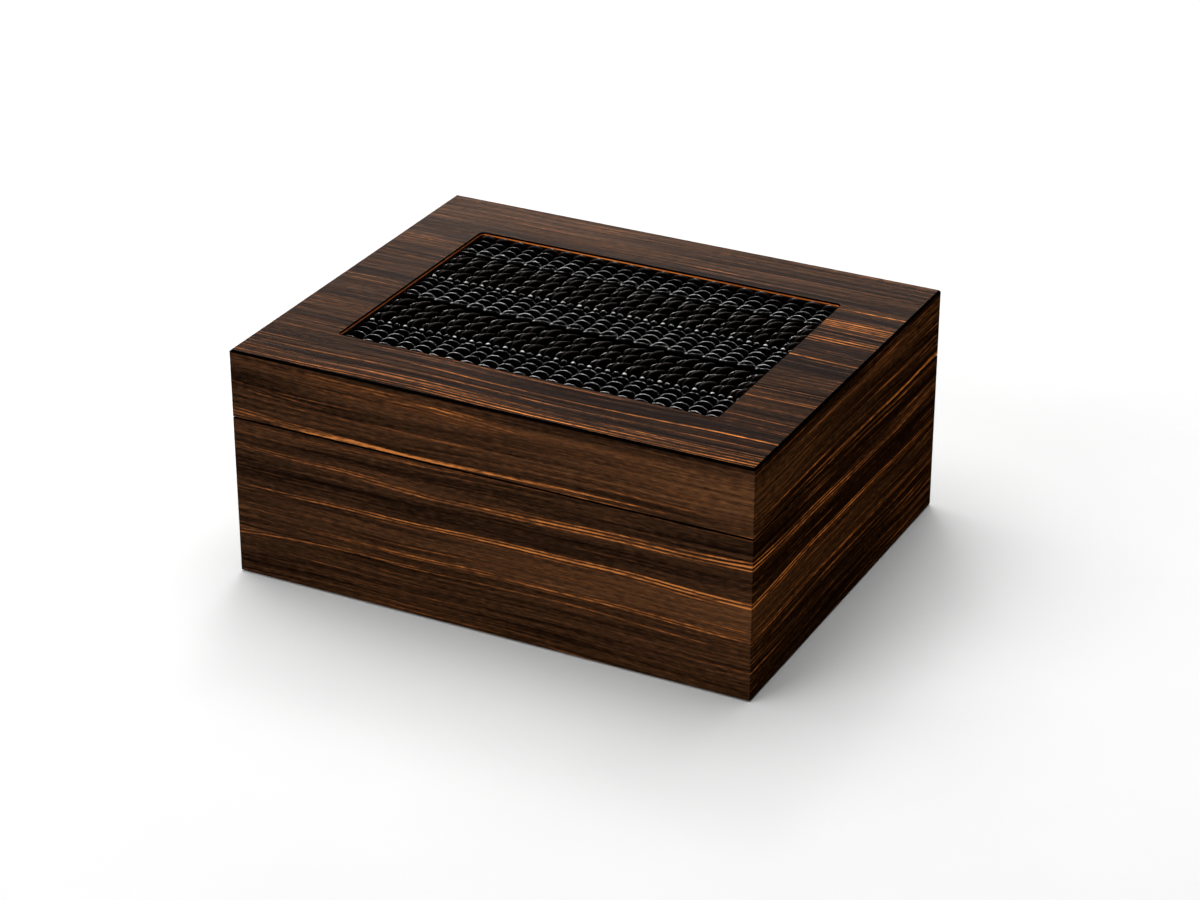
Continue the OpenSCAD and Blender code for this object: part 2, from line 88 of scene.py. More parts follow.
# %% A helper that adds nodes and wires them
class Wiring:
    """Adds nodes to one tree. A value is a plain number, a colour, or another node's output."""

    def __init__(self, tree):
        self.tree = tree

    def feed(self, socket, value):
        if isinstance(value, bpy.types.NodeSocket):
            self.tree.links.new(value, socket)
        else:
            socket.default_value = value

    def add(self, kind, inputs=None, **settings):
        node = self.tree.nodes.new(kind)
        for name, value in settings.items():
            setattr(node, name, value)
        for name, value in (inputs or {}).items():
            self.feed(node.inputs[name], value)
        return node

    def math(self, operation, *values):
        node = self.add("ShaderNodeMath", operation=operation)
        for socket, value in zip(node.inputs, values):
            self.feed(socket, value)
        return node.outputs[0]

    def total(self, *values):
        result = values[0]
        for value in values[1:]:
            result = self.math("ADD", result, value)
        return result

    def about(self, noise_value, amount):
        """Turns noise from 0 to 1 into a shift that is half of amount either way."""
        return self.math("MULTIPLY_ADD", noise_value, amount, -amount / 2)

    def spread(self, value, low, high, to_low=0.0, to_high=1.0, smooth=False):
        """Maps the range from low to high onto the one from to_low to to_high, and stops at its ends."""
        node = self.add("ShaderNodeMapRange", interpolation_type="SMOOTHSTEP" if smooth else "LINEAR")
        for name, number in zip(("Value", "From Min", "From Max", "To Min", "To Max"),
                                (value, low, high, to_low, to_high)):
            self.feed(node.inputs[name], number)
        return node.outputs[0]

    def vector(self, x=0.0, y=0.0, z=0.0):
        return self.add("ShaderNodeCombineXYZ", {"X": x, "Y": y, "Z": z}).outputs[0]

    def axes(self, vector):
        """The x, y and z of a vector."""
        return self.add("ShaderNodeSeparateXYZ", {"Vector": vector}).outputs[:]

    def ramp(self, value, stops):
        """A colour for each place from 0 to 1, blended in between."""
        node = self.add("ShaderNodeValToRGB", {"Fac": value})
        node.color_ramp.elements.remove(node.color_ramp.elements[-1])
        for index, (place, colour) in enumerate(stops):
            element = node.color_ramp.elements[0] if index == 0 else node.color_ramp.elements.new(place)
            element.position = place
            element.color = (*colour, 1.0)
        return node.outputs[0]


print("helper ready:", Wiring.__name__)

# %% [markdown]
# A finish needs a little more than a tree: a material, one shader, the place of each surface point, and
# at the end the three wires that every finish here has, for colour, roughness and fine relief. What is
# the same all over a surface is set on the shader itself.

# %% A helper that starts and ends a finish
NOISE_MIDDLE = (0.28, 0.72)


class Finish(Wiring):
    """The tree of one material. fixed holds the shader's values that are the same all over the surface.
    point is the surface point in metres."""

    def __init__(self, name, **fixed):
        self.material = bpy.data.materials.new(name)
        self.material.use_nodes = True
        self.material.node_tree.nodes.clear()
        super().__init__(self.material.node_tree)
        self.shader = self.add("ShaderNodeBsdfPrincipled")
        for socket, value in fixed.items():
            self.shader.inputs[socket.replace("_", " ")].default_value = value
        self.add("ShaderNodeOutputMaterial", {"Surface": self.shader.outputs[0]})
        self.point = self.add("ShaderNodeTexCoord").outputs["Object"]

    def noise(self, vector, scale, detail=2.0, roughness=0.5):
        """Cloudy noise, with the middle of its range stretched from 0 to 1."""
        node = self.add("ShaderNodeTexNoise", {"Vector": vector, "Scale": scale, "Detail": detail,
                                               "Roughness": roughness})
        return self.spread(node.outputs[0], *NOISE_MIDDLE)

    def mix(self, share, first, second):
        node = self.add("ShaderNodeMix", data_type="RGBA", clamp_factor=True)
        for socket, value in zip((node.inputs[0], node.inputs[6], node.inputs[7]), (share, first, second)):
            self.feed(socket, value if isinstance(value, (float, bpy.types.NodeSocket)) else (*value, 1.0))
        return node.outputs[2]

    def coat(self, colour, roughness, height, depth, strength):
        """Wires the colour, the roughness and a relief of that depth, and returns the material."""
        relief = self.add("ShaderNodeBump", {"Height": height, "Distance": depth, "Strength": strength})
        self.feed(self.shader.inputs["Base Color"], colour)
        self.feed(self.shader.inputs["Roughness"], roughness)
        self.feed(self.shader.inputs["Normal"], relief.outputs[0])
        return self.material


print("helper ready:", Finish.__name__)

# %% [markdown]
# ## The striped veneer
# The box wears a dark striped hardwood veneer under satin lacquer. Real veneer is sliced from one log,
# so the stripes are growth rings seen on edge: broad dark and brown bands, finer threads inside them,
# hair-thin fibres inside those, and now and then a bright orange streak. A painted picture could hold
# all that, but noise that is drawn out along the grain gives the same layers at any distance. The
# bright streaks are set one by one, because the eye knows a board by them.

# %% Noise that follows the grain
CASE_HALF_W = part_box("base_right")[1].x
CASE_HALF_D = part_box("base_back")[1].y
LID_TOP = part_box("lid_facing")[1].z
GRAIN_ROUGHNESS = 0.6


def grain(wires, along, across, layer, seed):
    """Noise drawn out along the grain. layer holds the lines in a metre across the grain, how many times
    longer than wide they are, and how much finer detail they have."""
    lines, stretch, detail = layer
    place = wires.vector(wires.math("MULTIPLY", along, lines / stretch),
                         wires.math("MULTIPLY", across, lines), seed)
    return wires.noise(place, 1.0, detail, GRAIN_ROUGHNESS)


def streak(wires, share, across, left, middle, right, half_width, weak, strong, peak=None, reach=None):
    """One bright streak. It passes through three depths in millimetres, at the left end of the face,
    its middle and its right end, and goes from weak at the left to strong at the right. With a peak,
    it also fades out on both sides of that place, which is -1 at the left end and 1 at the right."""
    slope = (right - left) / 2 * MM
    bend = ((right + left) / 2 - middle) * MM
    line = wires.math("MULTIPLY_ADD", share, bend, slope)
    line = wires.math("MULTIPLY_ADD", share, line, middle * MM)
    distance = wires.math("ABSOLUTE", wires.math("SUBTRACT", across, line))
    body = wires.spread(distance, 0.0, half_width * MM, 1.0, 0.0, smooth=True)
    strength = wires.math("MULTIPLY_ADD", share, (strong - weak) / 2, (strong + weak) / 2)
    if peak is not None:
        away = wires.math("ABSOLUTE", wires.math("SUBTRACT", share, peak))
        strength = wires.math("MULTIPLY", strength, wires.spread(away, 0.0, reach, 1.0, 0.0, smooth=True))
    return wires.math("MULTIPLY", body, strength)


print("veneer faces:", round(CASE_HALF_W * 2, 3), "by", round(CASE_HALF_D * 2, 3), "by", round(LID_TOP, 3))

# %% The black lines at the joints
# Black for the joints, and for the painted shade below the core's edge.
JOINT_AND_SHADE_BLACK = (0.0004, 0.0003, 0.0002)
JOINT_BLUR = 0.1 * MM
JOINT_REACH = (0.6 * MM, 0.9 * MM)


def joint_line(wires, colour, depth, z, height, half_width):
    """Blackens a line at one height of the outer faces. It stops where a rim turns inwards."""
    distance = wires.math("ABSOLUTE", wires.math("SUBTRACT", z, height))
    inward = wires.total(depth, z, -LID_TOP)
    clear = wires.math("MAXIMUM", wires.spread(distance, half_width, half_width + JOINT_BLUR),
                       wires.spread(inward, *JOINT_REACH))
    return wires.mix(clear, JOINT_AND_SHADE_BLACK, colour)


print("joint lines: fade out within", round(JOINT_REACH[1] / MM, 2), "mm of the outer faces")

# %% The veneer finish
VENEER_TONES = [
    (0.00, (0.0042, 0.0012, 0.0003)),
    (0.20, (0.0100, 0.0034, 0.0010)),
    (0.40, (0.0240, 0.0093, 0.0030)),
    (0.60, (0.0470, 0.0180, 0.0058)),
    (0.80, (0.0900, 0.0342, 0.0104)),
    (1.00, (0.1500, 0.0570, 0.0170)),
]
STREAK_TONES = [
    (0.00, (0.0300, 0.0112, 0.0038)),
    (0.30, (0.0900, 0.0300, 0.0075)),
    (0.65, (0.2500, 0.0770, 0.0150)),
    (1.00, (0.5000, 0.1650, 0.0330)),
]
# Layers of the grain: lines in a metre, stretch and detail.
VENEER_SWAY = (11, 1.8, 1.0)
VENEER_BANDS = (55, 30, 3.0)
VENEER_THREADS = (330, 55, 2.0)
VENEER_HAIRS = (520, 70, 2.0)
VENEER_FADES = (300, 25, 1.0)
VENEER_PORES = (900, 6.0, 2.0)
VENEER_WANDER = 4.4 * MM
VENEER_RELIEF = (0.01 * MM, 0.3)
# How far bands, threads, hairs and pores move the tone, and how much of the range of tones is used.
TONE_SWINGS = (0.40, 0.38, 0.56, 0.55)
TONE_MIDDLE = 0.5
TONE_SCALE = 0.8
# Which hairs are bright, how a streak comes and goes, how pores break it up, and when it covers the wood.
BRIGHT_HAIRS = (0.58, 0.95)
STREAK_FADE = (0.15, 0.85, 0.20, 1.35)
STREAK_GRIT = (0.0, 1.0, 0.30, 1.40)
STREAK_COVERS = (0.02, 0.30)


def veneer(name, along, across, streaks, shades, seed, level, gloss, polish, fine=0.34, joints=()):
    """A lacquered veneer. along and across turn x, y and z into metres along and across the grain. level
    makes it paler or darker, fine is how bright the thinnest fibres are, and joints holds the height and
    the half width of each black line."""
    wires = Finish(name, Specular_IOR_Level=gloss)
    x, y, z = wires.axes(wires.point)
    run = along(wires, x, y, z)
    depth = across(wires, x, y, z)
    share = wires.math("DIVIDE", run, CASE_HALF_W)
    sway = grain(wires, run, depth, VENEER_SWAY, seed)
    bent = wires.math("ADD", depth, wires.about(sway, VENEER_WANDER))
    bands = grain(wires, run, bent, VENEER_BANDS, seed + 1)
    threads = grain(wires, run, bent, VENEER_THREADS, seed + 2)
    hairs = grain(wires, run, bent, VENEER_HAIRS, seed + 3)
    fades = grain(wires, run, bent, VENEER_FADES, seed + 4)
    pores = grain(wires, run, bent, VENEER_PORES, seed + 5)
    swings = [wires.about(layer, swing) for layer, swing in zip((bands, threads, hairs, pores), TONE_SWINGS)]
    dark = [wires.math("MULTIPLY", streak(wires, share, bent, *one), -1.0) for one in shades]
    tone = wires.math("MULTIPLY", wires.total(TONE_MIDDLE + level, *swings, *dark), TONE_SCALE)
    bright = wires.total(wires.spread(hairs, *BRIGHT_HAIRS, 0.0, fine),
                         *[streak(wires, share, bent, *one) for one in streaks])
    lit = wires.math("MULTIPLY", bright, wires.spread(fades, *STREAK_FADE))
    lit = wires.math("MULTIPLY", lit, wires.spread(pores, *STREAK_GRIT))
    colour = wires.mix(wires.spread(lit, *STREAK_COVERS, smooth=True), wires.ramp(tone, VENEER_TONES),
                       wires.ramp(lit, STREAK_TONES))
    for height, half_width in joints:
        colour = joint_line(wires, colour, depth, z, height, half_width)
    return wires.coat(colour, wires.spread(hairs, 0.0, 1.0, *polish), wires.total(hairs, pores),
                      *VENEER_RELIEF)


print("veneer:", len(VENEER_TONES), "tones of wood,", len(STREAK_TONES), "tones of streaks")

# %% The streaks and shades of the walls
# Each: left, middle and right depth below the lid's top, half width, strength at the left and at the
# right. A streak that fades out also has its peak and its reach. A shade with a negative strength is a
# paler place.
WALL_STREAKS = [
    (2, 8.8, 25, 1.3, 0.75, 0.40, -0.30, 0.75),
    (3.5, 11, 27, 1.4, 0.95, 0.50, -0.20, 0.80),
    (5, 13.2, 29, 1.3, 0.80, 0.50, -0.10, 0.85),
    (7, 15.4, 31, 1.2, 0.55, 0.45, 0.00, 0.90),
    (9.5, 17, 33, 1.3, 0.25, 0.35),
    (20, 31, 39, 1.1, 0.40, 0.10),
    (23, 33, 40, 1.0, 0.30, 0.10),
    (36.8, 43.2, 42.4, 1.0, 0.95, 0.40, -0.60, 0.90),
    (38.9, 43.6, 43, 1.1, 1.15, 0.40, -0.50, 0.95),
    (41.0, 43.9, 43.2, 1.1, 1.15, 0.45, -0.45, 1.00),
    (42.8, 44.1, 43.4, 1.0, 0.90, 0.45, -0.40, 1.10),
    (43, 43.9, 41.6, 0.8, 0.40, 0.70),
    (42, 42.8, 43.4, 0.9, 0.30, 1.00, 0.20, 0.90),
    (46.6, 46.4, 46.3, 0.9, 0.30, 0.90),
    (49.0, 47.8, 47.6, 1.0, 0.25, 0.35),
    (60.2, 64.4, 61.4, 0.9, 0.50, 1.25),
    (61.8, 66.2, 63.8, 1.0, 0.45, 1.80),
    (64.0, 68.2, 66.4, 0.9, 0.10, 1.30),
    (90.4, 86.6, 88.2, 0.9, 0.40, 1.40),
    (92.2, 88.4, 90.5, 1.0, 0.45, 1.80),
    (94.4, 90.6, 92.8, 0.9, 0.10, 1.20),
    (98, 96.5, 97.5, 0.9, 0.20, 0.35),
    (103, 100, 102, 0.9, 0.25, 0.40),
    (107.5, 104, 106.5, 1.0, 0.30, 0.50),
    (111.8, 109.8, 110.9, 1.0, 0.42, 1.00),
    (112.9, 111.4, 112.6, 0.9, 0.30, 0.60),
    (118, 113.4, 117, 0.9, 0.30, 0.40),
    (121, 118.6, 120, 0.9, 0.25, 0.40),
    (123.4, 114.6, 123, 0.9, 0.50, 0.20, -0.70, 1.30),
    (125.4, 116.6, 125, 1.0, 0.85, 0.20, -0.75, 1.20),
    (131, 122, 126, 0.9, 0.16, 0.35),
    (150, 150.5, 151, 1.0, 0.30, 0.50),
]
WALL_SHADES = [
    (16, 22, 20, 12.0, 0.34, 0.00),
    (20, 22, 22, 30.0, -0.12, -0.50),
    (104, 104, 104, 60.0, 0.00, -0.32),
    (54, 55, 54, 5.0, 0.08, 0.10),
    (76, 77, 76, 10.0, 0.24, 0.16),
    (138, 135, 138, 12.0, 0.16, 0.12),
]
print("walls:", len(WALL_STREAKS), "streaks and", len(WALL_SHADES), "shades")

# %% The streaks and shades of the top
# The same, measured from the back edge of the lid's top.
TOP_STREAKS = [
    (3, 3, 3, 1.0, 0.20, 0.45),
    (9, 10, 9, 1.2, 0.12, 0.30),
    (25, 26, 27, 1.6, 0.20, 0.20),
    (36, 37, 38, 1.6, 0.20, 0.20),
    (57.4, 57.2, 57, 0.9, 0.08, 0.80),
    (73.5, 73.5, 73.5, 0.9, 0.30, 0.50),
    (76.2, 76.2, 76.2, 1.1, 0.42, 0.90),
    (78.4, 78.6, 78.8, 1.1, 0.36, 0.95),
    (81, 81, 81, 1.0, 0.26, 0.80),
    (83.6, 83.4, 83.2, 1.0, 0.20, 0.70),
    (88.5, 88.5, 88.5, 0.8, 0.12, 0.50),
    (96, 96.5, 97, 1.0, 0.24, 0.80),
    (99, 99.3, 99.6, 1.0, 0.22, 0.75),
    (102, 102.4, 102.8, 0.9, 0.26, 0.70),
    (105, 105.4, 105.8, 1.0, 0.32, 0.80),
    (129, 129.3, 129.6, 0.8, 0.08, 0.90),
    (151, 151.5, 152, 0.9, 0.14, 0.35),
    (165, 165.5, 166, 0.9, 0.12, 0.35),
    (180, 180.5, 181, 0.9, 0.14, 0.40),
    (186.5, 187, 187.5, 0.9, 0.38, 0.65),
    (193, 193.5, 194, 0.9, 0.34, 0.55),
    (205, 206, 207, 1.0, 0.14, 0.35),
    (218, 221, 223, 1.1, 0.24, 0.45),
    (231, 232, 233, 0.9, 0.20, 0.40),
    (247.5, 247.8, 248, 0.9, 0.28, 0.80),
    (257, 257, 257, 1.1, 0.16, 0.45),
    (265, 266, 267, 0.9, 0.42, 0.60),
    (268.5, 268.8, 269, 0.9, 0.36, 0.55),
    (272, 272.3, 272.6, 1.0, 0.30, 0.90),
    (275.5, 275.8, 276, 1.0, 0.30, 0.95),
    (278.3, 278.5, 278.6, 0.9, 0.26, 0.80),
]
TOP_SHADES = [
    # The first three rows are painted sheen: the top is paler at the back and darker towards the right and
    # the front. The others are dark bands of the wood.
    (140, 140, 140, 400.0, 0.06, 0.24),
    (0, 0, 0, 90.0, -0.16, -0.10),
    (262, 262, 262, 60.0, 0.10, 0.04),
    (16, 16, 17, 5.0, 0.12, 0.12),
    (45, 46, 47, 5.0, 0.10, 0.16),
    (66, 66, 66, 7.0, 0.12, 0.34),
    (91, 91, 91, 2.4, 0.26, 0.26),
    (114, 116, 117, 8.0, 0.22, 0.36),
    (140, 140, 141, 9.0, 0.14, 0.32),
    (177, 178, 179, 5.0, 0.30, 0.26),
    (212, 213, 214, 5.0, 0.16, 0.28),
    (240, 240, 241, 3.5, 0.16, 0.26),
    (261.5, 262, 262, 3.2, 0.40, 0.30),
]
print("top:", len(TOP_STREAKS), "streaks and", len(TOP_SHADES), "shades")

# %% Cut the veneer sheets for the top, the front and the sides
SIDE_TURN = CASE_HALF_W - CASE_HALF_D
SEAM_LEVEL = (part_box("base_front")[1].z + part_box("lid_front")[0].z) / 2
SEAM_HALF_W = 0.68 * MM
EDGE_HALF_W = 0.50 * MM
WALL_JOINTS = ((SEAM_LEVEL, SEAM_HALF_W), (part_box("lid_front")[1].z, EDGE_HALF_W))
WALL_POLISH = (0.27, 0.37)
TOP_POLISH = (0.10, 0.16)


def wall_depth(wires, thickness_place, half, z):
    """Depth below the lid's top on an outer face, running on over the rim."""
    inward = wires.math("SUBTRACT", half, wires.math("ABSOLUTE", thickness_place))
    return wires.total(wires.math("SUBTRACT", LID_TOP, z), inward)


def weaker(line, width=0.8, left=0.75, right=0.85):
    """The same streak, thinner and fainter."""
    return (*line[:3], width * line[3], left * line[4], right * line[5], *line[6:])


veneer_top = veneer(
    "veneer_top",
    lambda w, x, y, z: x,
    lambda w, x, y, z: w.math("SUBTRACT", CASE_HALF_D, y),
    TOP_STREAKS, TOP_SHADES, seed=3.0, level=-0.02, gloss=0.43, polish=TOP_POLISH)
veneer_front = veneer(
    "veneer_front",
    lambda w, x, y, z: x,
    lambda w, x, y, z: wall_depth(w, y, CASE_HALF_D, z),
    WALL_STREAKS, WALL_SHADES, seed=21.0, level=0.03, gloss=0.2, polish=WALL_POLISH, joints=WALL_JOINTS)
# The sides are the same veneer, darker and with fainter streaks: a painted shade, as the side turned away
# from the lamps is darker than the front.
veneer_side_painted_shade = veneer(
    "veneer_side_painted_shade",
    lambda w, x, y, z: w.math("MULTIPLY", w.math("SIGN", x), w.math("SUBTRACT", SIDE_TURN, y)),
    lambda w, x, y, z: wall_depth(w, x, CASE_HALF_W, z),
    [weaker(one) for one in WALL_STREAKS], WALL_SHADES, seed=21.0, level=-0.23, gloss=0.0,
    polish=WALL_POLISH, fine=0.60, joints=WALL_JOINTS)
print("veneer sheets:", veneer_top.name, veneer_front.name, veneer_side_painted_shade.name)

# %% [markdown]
# ## The other woods
# Under the veneer is a brown core board, which shows only as a thin edge round the cut-out. Below that
# edge it is painted black, a painted shade that keeps the gap beside the leather dark. Inside, the box is
# lined with unfinished cedar: pale, reddish and straight-grained, with short dark pores. One function makes
# both, with the grain along the length of the piece that wears it.

# %% Cedar and core board
WOOD_SLANT = 1.3
WOOD_WANDER = 12 * MM
WOOD_SWAY = (14, 2.5, 1.0)
WOOD_RINGS = (120, 30, 3.0)
WOOD_THREADS = (600, 40, 2.0)
WOOD_PORES = (2200, 14, 1.0)
WOOD_SHARES = (0.5, 0.3, 0.2)
WOOD_RELIEF = (0.06 * MM, 0.6)
SHADE_EDGE_BLUR = 0.2 * MM


def plain_wood(name, axis, tones, seed, roughness, painted_shade_below=None):
    """Straight-grained bare wood, with its grain along the named axis. Below a height it can be painted
    black, as painted shade."""
    wires = Finish(name, Specular_IOR_Level=0.25)
    x, y, z = wires.axes(wires.point)
    run, side = (x, y) if axis == "x" else (y, x)
    depth = wires.total(side, wires.math("MULTIPLY", z, WOOD_SLANT))
    sway = grain(wires, run, depth, WOOD_SWAY, seed)
    bent = wires.math("MULTIPLY_ADD", sway, WOOD_WANDER, depth)
    rings = grain(wires, run, bent, WOOD_RINGS, seed + 1)
    threads = grain(wires, run, bent, WOOD_THREADS, seed + 2)
    pores = grain(wires, run, bent, WOOD_PORES, seed + 3)
    tone = wires.total(*[wires.math("MULTIPLY", layer, share)
                         for layer, share in zip((rings, threads, pores), WOOD_SHARES)])
    colour = wires.ramp(tone, tones)
    if painted_shade_below is not None:
        bare = wires.spread(wires.math("SUBTRACT", z, painted_shade_below), -SHADE_EDGE_BLUR, SHADE_EDGE_BLUR)
        colour = wires.mix(bare, JOINT_AND_SHADE_BLACK, colour)
    return wires.coat(colour, wires.spread(threads, 0.0, 1.0, *roughness), wires.total(threads, pores),
                      *WOOD_RELIEF)


CEDAR_TONES = [(0.15, (0.250, 0.100, 0.045)), (0.5, (0.440, 0.210, 0.105)), (0.9, (0.560, 0.310, 0.170))]
CORE_TONES = [(0.15, (0.450, 0.100, 0.015)), (0.5, (0.800, 0.195, 0.032)), (0.9, (0.920, 0.300, 0.065))]
CEDAR_ROUGHNESS = (0.60, 0.78)
CORE_ROUGHNESS = (0.55, 0.70)
BARE_EDGE = 1.95 * MM
cedar_along_x = plain_wood("cedar_along_x", "x", CEDAR_TONES, 41.0, CEDAR_ROUGHNESS)
cedar_along_y = plain_wood("cedar_along_y", "y", CEDAR_TONES, 47.0, CEDAR_ROUGHNESS)
core_board = plain_wood("core_board", "x", CORE_TONES, 53.0, CORE_ROUGHNESS)
core_edge = plain_wood("core_edge", "x", CORE_TONES, 53.0, CORE_ROUGHNESS, LID_TOP - BARE_EDGE)
print("woods:", cedar_along_x.name, cedar_along_y.name, core_board.name, core_edge.name)

# %% [markdown]
# ## Black strips and felt
# The black strips on the lid's edges are rubbed down to a dull black, so they read as a plain dark line
# from every side. The pad under the box is felt, a tangle of short fibres that scatters light at its
# edges. The fibres could be modelled one by one, but at this size a shader's sheen does the same.

# %% Black strips and felt
STRIP_TONES = [(0.0, (0.0002, 0.0002, 0.0002)), (1.0, (0.0010, 0.0008, 0.0008))]
STRIP_CLOUDS = 160.0
STRIP_SPECKS = 2600.0
FELT_TONES = [(0.0, (0.010, 0.010, 0.011)), (1.0, (0.045, 0.044, 0.046))]
FELT_TANGLES = 900.0
FELT_ROUGHNESS = 0.95


def black_lacquer():
    wires = Finish("black_lacquer", Specular_IOR_Level=0.0)
    cloud = wires.noise(wires.point, STRIP_CLOUDS, 3.0)
    specks = wires.noise(wires.point, STRIP_SPECKS, 1.0)
    return wires.coat(wires.ramp(cloud, STRIP_TONES), wires.spread(specks, 0.0, 1.0, 0.24, 0.36), cloud,
                      depth=0.02 * MM, strength=0.4)


def charcoal_felt():
    wires = Finish("charcoal_felt", Specular_IOR_Level=0.1, Sheen_Weight=0.5, Sheen_Roughness=0.6)
    tangle = wires.noise(wires.point, FELT_TANGLES, 5.0, 0.7)
    return wires.coat(wires.ramp(tangle, FELT_TONES), FELT_ROUGHNESS, tangle, depth=0.3 * MM, strength=0.8)


lacquer = black_lacquer()
felt = charcoal_felt()
print("dull blacks:", lacquer.name, felt.name)

# %% [markdown]
# ## Leather
# The woven straps are black calf leather, pebbled by a fine grain. Their colour is set by height: black
# in the hollows as painted shade, and paler on the crowns as painted light, broken up by patches of
# wear. It could be one finish all over, but the panel lives from five dressings of the same leather:
# glossy; rubbed and paler, which also serves the first row as a painted highlight; with a bright spot
# painted on its crowns as a highlight; matt; and the fibrous flesh side that has no gloss.

# %% Five dressings of black leather
LEATHER_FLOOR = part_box("woven_leather")[0].z
# Painted shade and light: below the hollow level the leather is black, towards the crown level it turns
# paler.
HOLLOW_LEVEL = LEATHER_FLOOR + 3.9 * MM
CROWN_LEVEL = LEATHER_FLOOR + 5.5 * MM
PEBBLES = 1500.0
PEBBLE_DEPTH = -0.5
CREASES = 420.0
WORN_PATCHES = (0.35, 1.0)
LEATHER_RELIEF = (0.05 * MM, 0.8)


def black_leather(name, tones, roughness, gloss=1.0):
    """Leather coloured by height: black in the hollows as painted shade, paler on its crowns as painted
    light, broken up by patches of wear.
    """
    wires = Finish(name, Specular_IOR_Level=gloss)
    z = wires.axes(wires.point)[2]
    pebbles = wires.add("ShaderNodeTexVoronoi", {"Vector": wires.point, "Scale": PEBBLES})
    creases = wires.noise(wires.point, CREASES, 3.0)
    # Painted shade and light by height, broken up by patches of wear.
    crown = wires.spread(z, HOLLOW_LEVEL, CROWN_LEVEL, smooth=True)
    shade_and_wear = wires.math("MULTIPLY", crown, wires.spread(creases, 0.0, 1.0, *WORN_PATCHES))
    height = wires.total(wires.math("MULTIPLY", pebbles.outputs["Distance"], PEBBLE_DEPTH), creases)
    return wires.coat(wires.ramp(shade_and_wear, tones), wires.spread(creases, 0.0, 1.0, *roughness), height,
                      *LEATHER_RELIEF)


BLACK_TONES = [
    (0.00, (0.0002, 0.0002, 0.0002)),
    (0.50, (0.0036, 0.0031, 0.0029)),
    (1.00, (0.0130, 0.0114, 0.0108)),
]
RUBBED_AND_LIT_TONES = [
    (0.00, (0.0016, 0.0012, 0.0010)),
    (0.15, (0.0080, 0.0060, 0.0052)),
    (1.00, (0.0260, 0.0196, 0.0172)),
]
MATT_TONES = [
    (0.00, (0.0030, 0.0022, 0.0019)),
    (0.30, (0.0110, 0.0083, 0.0073)),
    (1.00, (0.0200, 0.0152, 0.0134)),
]
# A bright spot painted on the crowns of the beads: a painted highlight.
PAINTED_HIGHLIGHT_TONES = [
    (0.00, (0.0002, 0.0002, 0.0002)),
    (0.40, (0.0060, 0.0056, 0.0054)),
    (0.65, (0.3600, 0.3500, 0.3400)),
]
leather = black_leather("black_leather", BLACK_TONES, (0.10, 0.18), gloss=0.38)
rubbed_and_lit_leather = black_leather("rubbed_and_lit_leather", RUBBED_AND_LIT_TONES, (0.10, 0.18))
painted_highlight_leather = black_leather("painted_highlight_leather", PAINTED_HIGHLIGHT_TONES, (0.10, 0.19))
matt_leather = black_leather("matt_leather", MATT_TONES, (0.60, 0.80), gloss=0.1)
flesh_side = black_leather("flesh_side", BLACK_TONES, (0.75, 0.90), gloss=0.0)
print("leathers:", leather.name, rubbed_and_lit_leather.name, painted_highlight_leather.name, matt_leather.name, flesh_side.name)

# %% [markdown]
# ## Metals, dial, glass, plastic and foam
# Brass and steel are brushed: fine scratches along one direction break up the reflection. They could be
# cut into the mesh, but drawn-out noise gives the same look. A little tarnish scatters part of the light,
# so the metal keeps its colour where it has nothing bright to mirror. The dial is matt ivory card, the
# glass is thin and clear, the humidifier is moulded plastic with a finely pitted skin, and its filling is
# open foam.

# %% Brushed metals
SCRATCHES = (5200, 40, 2.0)
TARNISH = 90.0
METAL_RELIEF = (0.01 * MM, 0.5)


def brushed_metal(name, tones, roughness, seed):
    wires = Finish(name, Metallic=0.7)
    x, y, z = wires.axes(wires.point)
    scratches = grain(wires, x, wires.total(y, z), SCRATCHES, seed)
    tarnish = wires.noise(wires.point, TARNISH, 3.0)
    return wires.coat(wires.ramp(tarnish, tones), wires.spread(scratches, 0.0, 1.0, *roughness), scratches,
                      *METAL_RELIEF)


BRASS_TONES = [(0.0, (0.52, 0.33, 0.11)), (0.5, (0.72, 0.50, 0.20)), (1.0, (0.80, 0.60, 0.28))]
STEEL_TONES = [(0.0, (0.42, 0.42, 0.43)), (1.0, (0.62, 0.62, 0.63))]
brass = brushed_metal("brushed_brass", BRASS_TONES, (0.18, 0.34), 61.0)
steel = brushed_metal("brushed_steel", STEEL_TONES, (0.25, 0.42), 67.0)
print("metals:", brass.name, steel.name)


# %% Dial card, print, glass, plastic and foam
def cloudy_finish(name, tones, scale, roughness, depth, **fixed):
    """A finish whose colour, gloss and surface all follow one cloudy noise."""
    wires = Finish(name, **fixed)
    cloud = wires.noise(wires.point, scale, 4.0, 0.6)
    return wires.coat(wires.ramp(cloud, tones), wires.spread(cloud, 0.0, 1.0, *roughness), cloud, depth,
                      strength=0.6)


dial_card = cloudy_finish("dial_card", [(0.0, (0.74, 0.69, 0.56)), (1.0, (0.84, 0.80, 0.68))],
                          700.0, (0.50, 0.62), 0.01 * MM)
black_print = cloudy_finish("black_print", [(0.0, (0.008, 0.008, 0.008)), (1.0, (0.018, 0.017, 0.016))],
                            900.0, (0.45, 0.60), 0.005 * MM)
moulded_black = cloudy_finish("moulded_black", [(0.0, (0.010, 0.010, 0.011)), (1.0, (0.022, 0.022, 0.023))],
                              2400.0, (0.42, 0.58), 0.03 * MM)
green_foam = cloudy_finish("green_foam", [(0.2, (0.030, 0.045, 0.018)), (0.8, (0.150, 0.200, 0.090))],
                           700.0, (0.85, 0.95), 0.25 * MM)
clear_glass = cloudy_finish("clear_glass", [(0.0, (0.90, 0.94, 0.94)), (1.0, (0.94, 0.97, 0.97))],
                            60.0, (0.02, 0.05), 0.001 * MM, Alpha=0.14)
print("small finishes:", dial_card.name, moulded_black.name, green_foam.name, clear_glass.name)

